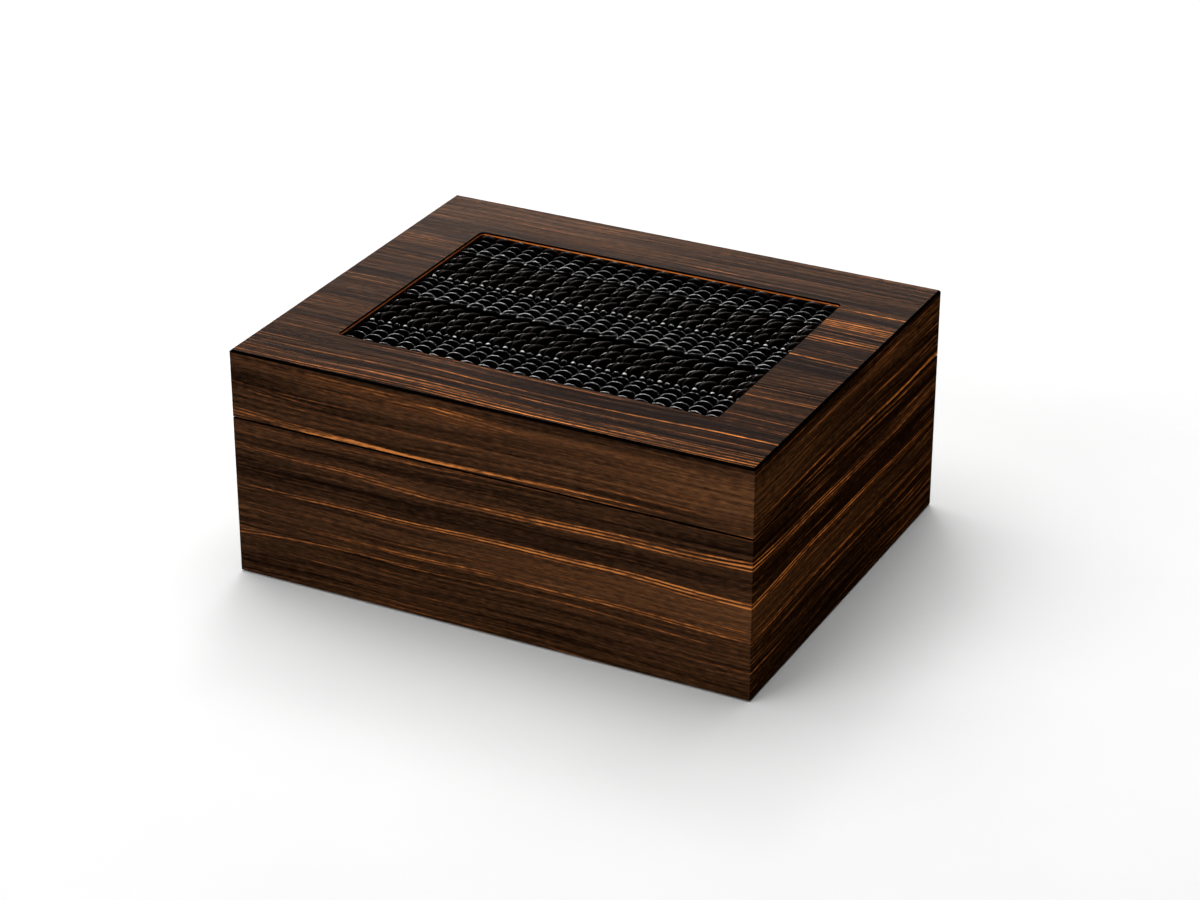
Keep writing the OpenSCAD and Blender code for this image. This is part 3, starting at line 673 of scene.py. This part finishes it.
# %% [markdown]
# ## Dressing the frame's parts
# A part keeps its shape and takes a finish through its material slots. The record names a slot for
# every part, so most parts follow that name. Wood needs one choice more: which way its grain runs.

# %% Give every part its finish
SLOT_FINISH = {
    "core": core_board, "black_lacquer": lacquer, "leather": leather, "felt": felt, "brass": brass,
    "steel": steel, "dial": dial_card, "needle": black_print, "glass": clear_glass,
    "black_plastic": moulded_black, "sponge": green_foam, "cedar": cedar_along_x, "veneer": veneer_front,
}
PART_FINISH = {"lid_facing": veneer_top, "lid_core": core_edge}
for part in ("base_left", "base_right", "lid_left", "lid_right"):
    PART_FINISH[part] = veneer_side_painted_shade
for part in ("liner_left", "liner_right", "lid_liner_left", "lid_liner_right", "tray_rail_left",
             "tray_rail_right", "tray_left", "tray_right", "tray_divider", "base_divider"):
    PART_FINISH[part] = cedar_along_y

for part, body in nodes.items():
    slot_name = body.data.materials[0].name
    body.data.materials[0] = PART_FINISH.get(part, SLOT_FINISH[slot_name])
print("dressed:", len(nodes), "parts")

# %% [markdown]
# ## The woven leather
# The panel is worked in rows from narrow leather straps, like coarse crochet: bands of short arched
# stitches, then bands of tall leaning loops with flat pads between them, and a row of beads and knots
# where one turns into the other. A hem and two selvedges close its edges. Each strap could be drawn by
# hand, but all stitches of a row are alike, so Geometry Nodes bend one strap along a curve, copy it over
# the rows, and shift every copy a little so that it looks hand-made.


# %% Start, close and run a Geometry Nodes tree
def new_tree(name, sizes):
    """A Geometry Nodes tree with a geometry input and output, and the named inputs in sizes."""
    tree = bpy.data.node_groups.new(name, "GeometryNodeTree")
    tree.interface.new_socket("Geometry", in_out="INPUT", socket_type="NodeSocketGeometry")
    for label, kind in sizes.items():
        tree.interface.new_socket(label, in_out="INPUT", socket_type="NodeSocket" + kind)
    tree.interface.new_socket("Geometry", in_out="OUTPUT", socket_type="NodeSocketGeometry")
    wires = Wiring(tree)
    return tree, wires, wires.add("NodeGroupInput").outputs


def close_tree(wires, given, made):
    """Adds what was made to the incoming geometry, as real mesh with its material."""
    joined = wires.add("GeometryNodeJoinGeometry")
    wires.feed(joined.inputs[0], given["Geometry"])
    wires.feed(joined.inputs[0], made)
    real = wires.add("GeometryNodeRealizeInstances", {"Geometry": joined.outputs[0]})
    coated = wires.add("GeometryNodeSetMaterial", {
        "Geometry": real.outputs[0], "Material": given["Material"]})
    wires.add("NodeGroupOutput", {"Geometry": coated.outputs[0]})


def grow(name, tree, passes):
    """Runs the tree once for each set of sizes in passes and returns the result as a plain mesh."""
    piece = add_to_scene(name, bpy.data.meshes.new(name))
    keys = {item.name: item.identifier for item in tree.interface.items_tree if item.in_out == "INPUT"}
    for sizes in passes:
        modifier = piece.modifiers.new(name, "NODES")
        modifier.node_group = tree
        for label, value in sizes.items():
            modifier[keys[label]] = value
    graph = bpy.context.evaluated_depsgraph_get()
    made = bpy.data.meshes.new_from_object(piece.evaluated_get(graph), depsgraph=graph)
    piece.modifiers.clear()
    piece.data = made
    print(name + ":", len(made.polygons), "faces")
    return piece


print("helpers ready:", new_tree.__name__, close_tree.__name__, grow.__name__)

# %% The tree that works rows of straps
STRAP_STEPS = 7
STRAP_SIDES = 10


def bent_strap(wires, given):
    """One strap along a curve of four points, oval in section and thinner towards its ends."""
    path = wires.add("GeometryNodeCurvePrimitiveBezierSegment", {
        "Resolution": STRAP_STEPS, "Start": given["Start"], "Start Handle": given["Start handle"],
        "End Handle": given["End handle"], "End": given["End"]}, mode="POSITION")
    level = wires.add("GeometryNodeSetCurveNormal", {"Curve": path.outputs[0]}, mode="Z_UP")
    twisted = wires.add("GeometryNodeSetCurveTilt", {"Curve": level.outputs[0], "Tilt": given["Tilt"]})
    ring = wires.add("GeometryNodeCurvePrimitiveCircle", {"Resolution": STRAP_SIDES, "Radius": 0.5})
    oval = wires.add("GeometryNodeTransform", {"Geometry": ring.outputs[0], "Scale": given["Section"]})
    travel = wires.add("GeometryNodeSplineParameter").outputs["Factor"]
    crown = wires.math("SINE", wires.math("MULTIPLY", travel, math.pi))
    girth = wires.spread(crown, 0.0, 1.0, given["Taper"], 1.0)
    strap = wires.add("GeometryNodeCurveToMesh", {
        "Curve": twisted.outputs[0], "Profile Curve": oval.outputs[0], "Scale": girth, "Fill Caps": True})
    return wires.add("GeometryNodeSetShadeSmooth", {"Geometry": strap.outputs[0]}).outputs[0]


def either_way(wires, most, seed):
    """A random vector for each copy, up to most in each direction."""
    least = wires.add("ShaderNodeVectorMath", {0: most, "Scale": -1.0}, operation="SCALE")
    chance = wires.add("FunctionNodeRandomValue", {
        "Min": least.outputs[0], "Max": most, "Seed": seed}, data_type="FLOAT_VECTOR")
    return chance.outputs[0]


def strap_rows():
    tree, wires, given = new_tree("strap_rows", {
        "Columns": "Int", "Rows": "Int", "Corner": "Vector", "Column step": "Vector", "Row step": "Vector",
        "Start": "Vector", "Start handle": "Vector", "End handle": "Vector", "End": "Vector",
        "Section": "Vector", "Taper": "Float", "Tilt": "Float", "Shift": "Vector", "Turn": "Vector",
        "Seed": "Int", "Material": "Material"})
    row = wires.add("GeometryNodeMeshLine", {
        "Count": given["Columns"], "Start Location": given["Corner"], "Offset": given["Column step"]})
    stack = wires.add("GeometryNodeMeshLine", {"Count": given["Rows"], "Offset": given["Row step"]})
    sites = wires.add("GeometryNodeInstanceOnPoints", {
        "Points": stack.outputs[0], "Instance": row.outputs[0]})
    points = wires.add("GeometryNodeRealizeInstances", {"Geometry": sites.outputs[0]})
    moved = wires.add("GeometryNodeSetPosition", {
        "Geometry": points.outputs[0], "Offset": either_way(wires, given["Shift"], given["Seed"])})
    turn = either_way(wires, given["Turn"], wires.math("ADD", given["Seed"], 1.0))
    facing = wires.add("FunctionNodeEulerToRotation", {"Euler": turn})
    copies = wires.add("GeometryNodeInstanceOnPoints", {
        "Points": moved.outputs[0], "Instance": bent_strap(wires, given), "Rotation": facing.outputs[0]})
    close_tree(wires, given, copies.outputs[0])
    return tree


strap_tree = strap_rows()
print("tree:", strap_tree.name, "with", len(strap_tree.nodes), "nodes")


# %% The stitches
def millimetres(*values):
    return tuple(value * MM for value in values)


def stitch(points, thickness, width, taper, tilt=0.0):
    """The sizes of one stitch: the four points of its curve, its section, how much of its section is left
    at its ends, and how far it is rolled about its own length."""
    sizes = {label: millimetres(*point)
             for label, point in zip(("Start", "Start handle", "End handle", "End"), points)}
    sizes.update({"Section": millimetres(thickness, width, 1.0), "Taper": taper, "Tilt": tilt})
    return sizes


STITCHES = {
    "arch": stitch([(-4.5, -2.5, -1.2), (-3.2, 0.0, 1.3), (2.4, 1.8, 1.4), (5.1, 0.7, -1.2)],
                   thickness=4.0, width=3.6, taper=0.50),
    "edge_arch": stitch([(-4.5, -2.2, -0.8), (-3.2, 0.2, 1.8), (2.4, 1.6, 1.9), (5.1, 0.7, -0.8)],
                        thickness=4.0, width=4.0, taper=0.50),
    "wide_arch": stitch([(-4.9, -3.6, -1.2), (-4.0, -0.2, 2.0), (2.4, 2.6, 2.2), (5.5, -0.2, -1.2)],
                        thickness=3.0, width=2.8, taper=0.70),
    "vee": stitch([(-5.4, 0.6, -1.0), (-2.4, -3.0, 1.2), (1.2, -2.0, 1.4), (5.2, 2.2, -0.8)],
                  thickness=3.0, width=3.4, taper=0.80, tilt=0.35),
    "loop": stitch([(-2.9, -4.2, -1.2), (-2.7, -3.6, 2.0), (0.2, 1.5, 1.1), (3.0, 6.3, -1.8)],
                   thickness=3.4, width=4.2, taper=0.45, tilt=-0.30),
    "pad": stitch([(0.5, -4.6, -1.2), (0.8, -3.4, 1.0), (3.2, 1.5, 0.8), (5.6, 5.5, -1.4)],
                  thickness=2.2, width=5.6, taper=0.60),
    "knot": stitch([(-1.2, -0.5, 0.6), (-0.6, -0.2, 1.9), (0.6, 0.2, 1.9), (1.2, 0.5, 0.6)],
                   thickness=2.0, width=2.6, taper=0.70),
    "bead": stitch([(-1.0, -0.4, 0.8), (-0.5, -0.2, 2.1), (0.5, 0.2, 2.1), (1.0, 0.4, 0.8)],
                   thickness=1.8, width=1.9, taper=0.70),
    "selvedge": stitch([(0.2, -3.8, -0.8), (-0.3, -2.2, 0.8), (0.3, 2.2, 0.8), (-0.2, 3.8, -0.8)],
                       thickness=2.8, width=2.6, taper=0.80),
    "hem": stitch([(-6.0, 0.3, -0.2), (-3.0, -0.2, 0.8), (3.0, 0.2, 0.8), (6.0, -0.3, -0.2)],
                  thickness=2.6, width=2.6, taper=0.80),
}
print("stitches:", *STITCHES)

# %% [markdown]
# The rows follow each other from the back of the panel to the front. A tree coats all that it makes
# with one material, so each dressing of the leather is grown as a piece of its own.

# %% Work the bands of the panel
PANEL_LOW, PANEL_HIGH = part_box("woven_leather")
COLUMNS = 22
COLUMN_STEP = (PANEL_HIGH.x - PANEL_LOW.x) / COLUMNS
STITCH_LEVEL = PANEL_LOW.z + 3.1 * MM
EDGE_INSET = 1.2 * MM
HAND_SHIFT = millimetres(0.35, 0.35, 0.2)
HAND_TURN = (0.08, 0.08, 0.12)
SEED_STEP = 10
# Stitch, distance of its first row from the panel's back edge, number of rows, distance between rows, and
# how far it is set to the right of the middle of its column.
BANDS = [
    ("hem", 1.4, 2, 177.4, 0.0),
    ("selvedge", 4.0, 25, 7.15, 0.0),
    ("edge_arch", 2.5, 1, 0, 0.0),
    ("arch", 10.0, 2, 7.3, 0.0),
    ("wide_arch", 26.0, 1, 0, 0.0),
    ("vee", 29.7, 1, 0, 0.0),
    ("loop", 36.2, 1, 0, 0.0),
    ("loop", 42.5, 3, 10.9, 0.0),
    ("pad", 41.0, 3, 10.9, 0.0),
    ("bead", 73.8, 1, 0, 0.0),
    ("knot", 74.4, 1, 0, 5.8),
    ("arch", 78.2, 3, 7.0, 0.0),
    ("wide_arch", 100.5, 1, 0, 0.0),
    ("vee", 103.8, 1, 0, 0.0),
    ("loop", 115.6, 3, 11.5, 0.0),
    ("pad", 114.1, 3, 11.5, 0.0),
    ("bead", 149.4, 1, 0, 0.0),
    ("knot", 150.0, 1, 0, 5.8),
    ("arch", 154.1, 4, 7.5, 0.0),
]
# The first row's arches wear the paler rubbed leather as a painted highlight, because the back wall hides
# from them the glow that lights the other rows.
STITCH_FINISH = {
    "edge_arch": rubbed_and_lit_leather, "loop": rubbed_and_lit_leather, "bead": painted_highlight_leather, "pad": matt_leather,
    "hem": flesh_side, "selvedge": flesh_side,
}
WEAVE_FINISH = {
    "leather_weave": leather, "leather_loops": rubbed_and_lit_leather, "leather_beads": painted_highlight_leather,
    "leather_pads": matt_leather, "leather_hem": flesh_side,
}

passes = {finish: [] for finish in WEAVE_FINISH.values()}
for number, (kind, first, rows, row_step, aside) in enumerate(BANDS):
    columns, start, column_step = COLUMNS, COLUMN_STEP / 2 + aside * MM, COLUMN_STEP
    if kind == "selvedge":
        columns, start, column_step = 2, EDGE_INSET, PANEL_HIGH.x - PANEL_LOW.x - 2 * EDGE_INSET
    finish = STITCH_FINISH.get(kind, leather)
    passes[finish].append({
        **STITCHES[kind], "Columns": columns, "Rows": rows,
        "Corner": (PANEL_LOW.x + start, PANEL_HIGH.y - first * MM, STITCH_LEVEL),
        "Column step": (column_step, 0.0, 0.0), "Row step": millimetres(0, -row_step, 0),
        "Shift": HAND_SHIFT, "Turn": HAND_TURN, "Seed": SEED_STEP * number, "Material": finish})
weave = [grow(name, strap_tree, passes[finish]) for name, finish in WEAVE_FINISH.items()]
for piece in weave:
    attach(piece, "lid")
    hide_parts("woven_leather")

# %% [markdown]
# Under the stitches lies the leather that they are worked on. A flat sheet would do where it is hidden,
# but light finds the gaps, so the sheet dips and swells a little.

# %% The leather ground under the stitches
GROUND_T = 1.0 * MM
GROUND_CELLS = (96, 68)
GROUND_SWELL = 0.25 * MM
SWELLS_IN_A_METRE = 180


def smooth_mesh(name, shape, material):
    """A mesh from a bmesh shape, with its faces turned outwards and shaded smooth."""
    mesh = bpy.data.meshes.new(name)
    bmesh.ops.recalc_face_normals(shape, faces=shape.faces)
    shape.to_mesh(mesh)
    shape.free()
    mesh.materials.append(material)
    for face in mesh.polygons:
        face.use_smooth = True
    return mesh


def leather_ground(low, high, thickness, cells):
    """A thin closed sheet whose upper face is uneven."""
    shape = bmesh.new()
    bmesh.ops.create_grid(shape, x_segments=cells[0], y_segments=cells[1], size=0.5)
    for vert in shape.verts:
        vert.co.x = (low.x + high.x) / 2 + vert.co.x * (high.x - low.x)
        vert.co.y = (low.y + high.y) / 2 + vert.co.y * (high.y - low.y)
        vert.co.z = low.z + thickness + GROUND_SWELL * noise.noise(vert.co * SWELLS_IN_A_METRE)
    upper = list(shape.faces)
    lower = bmesh.ops.extrude_face_region(shape, geom=upper)["geom"]
    for vert in (item for item in lower if isinstance(item, bmesh.types.BMVert)):
        vert.co.z = low.z
    return add_to_scene("leather_ground", smooth_mesh("leather_ground", shape, flesh_side))


# The sheet lies below the hollow level, so its leather is painted black all over: painted shade for the
# gaps.
ground = leather_ground(PANEL_LOW, PANEL_HIGH, GROUND_T, GROUND_CELLS)
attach(ground, "lid")
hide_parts("woven_leather")
print("leather ground:", len(ground.data.polygons), "faces")

# %% [markdown]
# ## The felt under the box
# A pad of felt is glued under the bottom, so that the box can be pushed over a desk. It is cut with
# scissors: its corners are rounded and its rim is soft. A box with a bevel would do, but stacking a few
# outlines keeps the pad one closed sheet whose rim is round all the way.

# %% The felt pad
FELT_LOW, FELT_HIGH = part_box("felt_pad")
FELT_CORNER = 6.0 * MM
FELT_RIM = 0.35 * MM
CORNER_STEPS = 6


def round_outline(low, high, inset, radius, height):
    """The corners of a rounded rectangle at one height, going round counter-clockwise."""
    points = []
    for quarter, (x, y) in enumerate(((high.x, high.y), (low.x, high.y), (low.x, low.y), (high.x, low.y))):
        middle = Vector((x - math.copysign(radius, x), y - math.copysign(radius, y), height))
        for step in range(CORNER_STEPS + 1):
            angle = math.radians(90 * (quarter + step / CORNER_STEPS))
            points.append(middle + (radius - inset) * Vector((math.cos(angle), math.sin(angle), 0)))
    return points


def stacked_outlines(name, outlines, material):
    """A closed mesh through outlines that have the same number of points, lowest first."""
    mesh = bpy.data.meshes.new(name)
    count = len(outlines[0])
    faces = [tuple(reversed(range(count)))]
    for layer in range(len(outlines) - 1):
        for index in range(count):
            after = (index + 1) % count
            faces.append((layer * count + index, layer * count + after,
                          (layer + 1) * count + after, (layer + 1) * count + index))
    faces.append(tuple(range((len(outlines) - 1) * count, len(outlines) * count)))
    mesh.from_pydata([point for outline in outlines for point in outline], [], faces)
    for face in mesh.polygons[1:-1]:
        face.use_smooth = True
    mesh.materials.append(material)
    return add_to_scene(name, mesh)


felt_layers = ((FELT_RIM, FELT_LOW.z), (0.0, FELT_LOW.z + FELT_RIM), (0.0, FELT_HIGH.z - FELT_RIM),
               (FELT_RIM, FELT_HIGH.z))
felt_sheet = stacked_outlines("felt_sheet", [round_outline(FELT_LOW, FELT_HIGH, inset, FELT_CORNER, height)
                                             for inset, height in felt_layers], felt)
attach(felt_sheet, "base")
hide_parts("felt_pad")
print("felt sheet:", len(felt_sheet.data.polygons), "faces")

# %% [markdown]
# ## The sponge in the humidifier
# Behind the slots of the humidifier sits a block of open foam that holds the water. Its cut edges are
# rounded and its skin is full of pits. Real holes would take a great many faces for something seen
# through slots, so the block is a fine grid that is rounded at its edges and dented by noise.

# %% The foam block
SPONGE_LOW, SPONGE_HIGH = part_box("humidifier_sponge")
SPONGE_ROUND = 1.2 * MM
SPONGE_PIT = 0.35 * MM
SPONGE_CUTS = 40
PITS_IN_A_METRE = 900


def foam_block(low, high, cuts):
    """A closed block with rounded edges and a pitted skin that stays inside its box."""
    middle, half = (low + high) / 2, (high - low) / 2
    core = half - Vector((SPONGE_ROUND, SPONGE_ROUND, SPONGE_ROUND))
    shape = bmesh.new()
    bmesh.ops.create_cube(shape, size=2.0)
    bmesh.ops.subdivide_edges(shape, edges=shape.edges, cuts=cuts, use_grid_fill=True)
    for vert in shape.verts:
        place = Vector([vert.co[axis] * half[axis] for axis in range(3)])
        inner = Vector([max(-core[axis], min(core[axis], place[axis])) for axis in range(3)])
        outward = (place - inner).normalized()
        dent = SPONGE_PIT * (0.5 + 0.5 * noise.noise(place * PITS_IN_A_METRE))
        vert.co = middle + inner + outward * (SPONGE_ROUND - dent)
    return add_to_scene("foam_block", smooth_mesh("foam_block", shape, green_foam))


foam = foam_block(SPONGE_LOW, SPONGE_HIGH, SPONGE_CUTS)
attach(foam, "humidifier")
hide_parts("humidifier_sponge")
print("foam block:", len(foam.data.polygons), "faces")

# %% [markdown]
# ## The scale of the hygrometer
# A hygrometer dial is printed with a tick for every two per cent of humidity, a longer one for every ten,
# and a few numbers. The ticks go round in equal steps, so Geometry Nodes copy one small bar to each
# place. The dial looks down when the lid is shut, and is read with the lid open, when the front of the
# lid is on top: the scale is laid out for that.


# %% The tree that sets marks on an arc
def marks_on_arc():
    tree, wires, given = new_tree("marks_on_arc", {
        "Count": "Int", "First angle": "Float", "Angle step": "Float", "Radius": "Float",
        "Centre": "Vector", "Bar": "Vector", "Material": "Material"})
    line = wires.add("GeometryNodeMeshLine", {"Count": given["Count"]})
    index = wires.add("GeometryNodeInputIndex").outputs[0]
    angle = wires.math("MULTIPLY_ADD", index, given["Angle step"], given["First angle"])
    reach = wires.vector(wires.math("MULTIPLY", wires.math("SINE", angle), given["Radius"]),
                         wires.math("MULTIPLY", wires.math("COSINE", angle),
                                    wires.math("MULTIPLY", given["Radius"], -1.0)))
    place = wires.add("ShaderNodeVectorMath", {0: reach, 1: given["Centre"]}, operation="ADD")
    sites = wires.add("GeometryNodeSetPosition", {
        "Geometry": line.outputs[0], "Position": place.outputs[0]})
    bar = wires.add("GeometryNodeMeshCube", {"Size": given["Bar"]})
    facing = wires.add("FunctionNodeEulerToRotation", {"Euler": wires.vector(z=angle)})
    copies = wires.add("GeometryNodeInstanceOnPoints", {
        "Points": sites.outputs[0], "Instance": bar.outputs[0], "Rotation": facing.outputs[0]})
    close_tree(wires, given, copies.outputs[0])
    return tree


marks_tree = marks_on_arc()
print("tree:", marks_tree.name, "with", len(marks_tree.nodes), "nodes")

# %% Print the ticks
DIAL_LOW, DIAL_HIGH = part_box("hygrometer_dial")
DIAL_FACE = Vector(((DIAL_LOW.x + DIAL_HIGH.x) / 2, (DIAL_LOW.y + DIAL_HIGH.y) / 2, DIAL_LOW.z))
SCALE_END = math.radians(120)
SCALE_R = 18.4 * MM
PRINT_T = 0.04 * MM


def tick_sizes(count, length, width):
    return {"Count": count, "First angle": -SCALE_END, "Angle step": 2 * SCALE_END / (count - 1),
            "Radius": SCALE_R - length / 2, "Centre": tuple(DIAL_FACE), "Bar": (width, length, 2 * PRINT_T),
            "Material": black_print}


ticks = grow("dial_ticks", marks_tree, [tick_sizes(count=51, length=1.1 * MM, width=0.16 * MM),
                                        tick_sizes(count=11, length=2.2 * MM, width=0.34 * MM)])
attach(ticks, "hygrometer")

# %% Print the numbers
NUMBER_R = 12.6 * MM
NUMBER_H = 3.4 * MM
NUMBER_STEP = 20
SIGN_BELOW = 11.5 * MM


def printed_word(word, across, up):
    """Text as a thin mesh on the dial, centred across and up from the dial's middle as it is read."""
    curve = bpy.data.curves.new("print_" + word, "FONT")
    curve.body = word
    curve.size = NUMBER_H
    curve.extrude = PRINT_T
    curve.align_x, curve.align_y = "CENTER", "CENTER"
    curve.resolution_u = 3
    letters = add_to_scene("print_" + word, curve)
    graph = bpy.context.evaluated_depsgraph_get()
    mesh = bpy.data.meshes.new_from_object(letters.evaluated_get(graph), depsgraph=graph)
    bpy.data.objects.remove(letters)
    place = Matrix.Translation(DIAL_FACE + Vector((across, -up, 0)))
    mesh.transform(place @ Matrix.Rotation(math.pi, 4, "X"))
    return mesh


def joined_print(name, words):
    """One piece from several printed words, each with its place."""
    shape = bmesh.new()
    for word, across, up in words:
        shape.from_mesh(printed_word(word, across, up))
    mesh = bpy.data.meshes.new(name)
    shape.to_mesh(mesh)
    shape.free()
    mesh.materials.append(black_print)
    return add_to_scene(name, mesh)


words = [("%", 0.0, -SIGN_BELOW)]
for percent in range(0, 101, NUMBER_STEP):
    angle = SCALE_END * (percent / 50 - 1)
    words.append((str(percent), NUMBER_R * math.sin(angle), NUMBER_R * math.cos(angle)))
numbers = joined_print("dial_numbers", words)
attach(numbers, "hygrometer")
print("dial:", len(ticks.data.polygons), "faces of ticks,", len(words), "words")

# %% [markdown]
# ## The floor and the light
# The box stands on a plain pale floor. Two wide soft lamps, one overhead and one at the front left, light
# the floor and the plain surfaces. They and the floor are left out of reflections, because a large pale
# patch mirrored in the lacquer would lie over the wood like fog. A small key lamp behind the box is
# mirrored, and adds a few sparks.

# %% The floor
FLOOR_SIZE = 16.0
FLOOR_LEVEL = -0.1 * MM
FLOOR_TONES = [(0.0, (0.42, 0.42, 0.42)), (1.0, (0.44, 0.44, 0.44))]


def plain_floor():
    mesh = bpy.data.meshes.new("floor")
    half = FLOOR_SIZE / 2
    corners = [(x, y, FLOOR_LEVEL) for x, y in ((-half, -half), (half, -half), (half, half), (-half, half))]
    mesh.from_pydata(corners, [], [(0, 1, 2, 3)])
    mesh.materials.append(cloudy_finish("pale_floor", FLOOR_TONES, 3.0, (0.8, 0.9), 0.0,
                                        Specular_IOR_Level=0.0))
    piece = add_to_scene("floor", mesh)
    piece.visible_glossy = False
    return piece


floor = plain_floor()
print("floor:", FLOOR_SIZE, "m")

# %% The lamps
LAMP_AIM = (0, 0, 0.1)


def soft_light(name, place, size, radiance, mirrored):
    """A rectangular lamp that faces the box. radiance is how bright its surface is, and mirrored says
    whether it shows in reflections."""
    lamp = bpy.data.lights.new(name, "AREA")
    lamp.shape = "RECTANGLE"
    lamp.size, lamp.size_y = size
    lamp.energy = radiance * math.pi * size[0] * size[1]
    piece = add_to_scene(name, lamp)
    piece.location = place
    piece.rotation_euler = (Vector(LAMP_AIM) - Vector(place)).to_track_quat("-Z", "Y").to_euler()
    piece.visible_glossy = mirrored
    return piece


lamps = [
    soft_light("overhead_softbox", (-0.6, 0.6, 3.0), (4.0, 4.0), radiance=5.8, mirrored=False),
    soft_light("front_fill", (-1.8, -2.8, 1.7), (2.4, 2.0), radiance=6.0, mirrored=False),
    soft_light("small_key", (-0.8, 1.5, 2.1), (0.5, 0.5), radiance=18.0, mirrored=True),
]
print("lamps:", *[lamp.name for lamp in lamps])

# %% [markdown]
# What the lid's top and the leather do mirror is the sky: a low glow behind the box, brightest near the
# horizon and gone a little higher up. Flat surfaces catch its lower part as a soft sheen, and each strap
# catches it once, as one thin highlight. A picture of a studio could do the same, but a glow that
# depends on height and heading needs only a few numbers.

# %% The sky
SKY_PEAK = 14.0
SKY_HEADING = (-0.46, 0.89)
SKY_SIDES = (0.55, 0.86)
SKY_ASIDE = 0.01
SKY_LEAST = 0.010
SKY_UNDER_FLOOR = 0.004
HORIZON_BLUR = 0.03
SKY_BY_HEIGHT = [
    (0.10, 1.0), (0.18, 0.50), (0.26, 0.12), (0.33, 0.027),
    (0.36, 0.017), (0.39, 0.009), (0.42, 0.0023), (0.46, 0.0006),
]

surroundings = bpy.data.worlds.new("surroundings")
surroundings.use_nodes = True
bpy.context.scene.world = surroundings
sky = Wiring(surroundings.node_tree)
east, north, up = sky.axes(sky.add("ShaderNodeTexCoord").outputs["Generated"])
rise = sky.ramp(up, [(height, (level, level, level)) for height, level in SKY_BY_HEIGHT])
ahead = sky.math("MULTIPLY_ADD", east, SKY_HEADING[0], sky.math("MULTIPLY", north, SKY_HEADING[1]))
behind = sky.spread(ahead, *SKY_SIDES, SKY_ASIDE, 1.0, smooth=True)
glow = sky.math("MULTIPLY_ADD", sky.math("MULTIPLY", rise, behind), SKY_PEAK, SKY_LEAST)
above = sky.spread(up, -HORIZON_BLUR, 0.0, smooth=True)
backdrop = surroundings.node_tree.nodes["Background"]
sky.feed(backdrop.inputs["Strength"], sky.math("MULTIPLY_ADD", glow, above, SKY_UNDER_FLOOR))
backdrop.inputs["Color"].default_value = (1.0, 1.0, 1.0, 1.0)
bpy.context.scene.view_settings.view_transform = "Standard"
print("sky: a glow of", SKY_PEAK, "towards", SKY_HEADING)
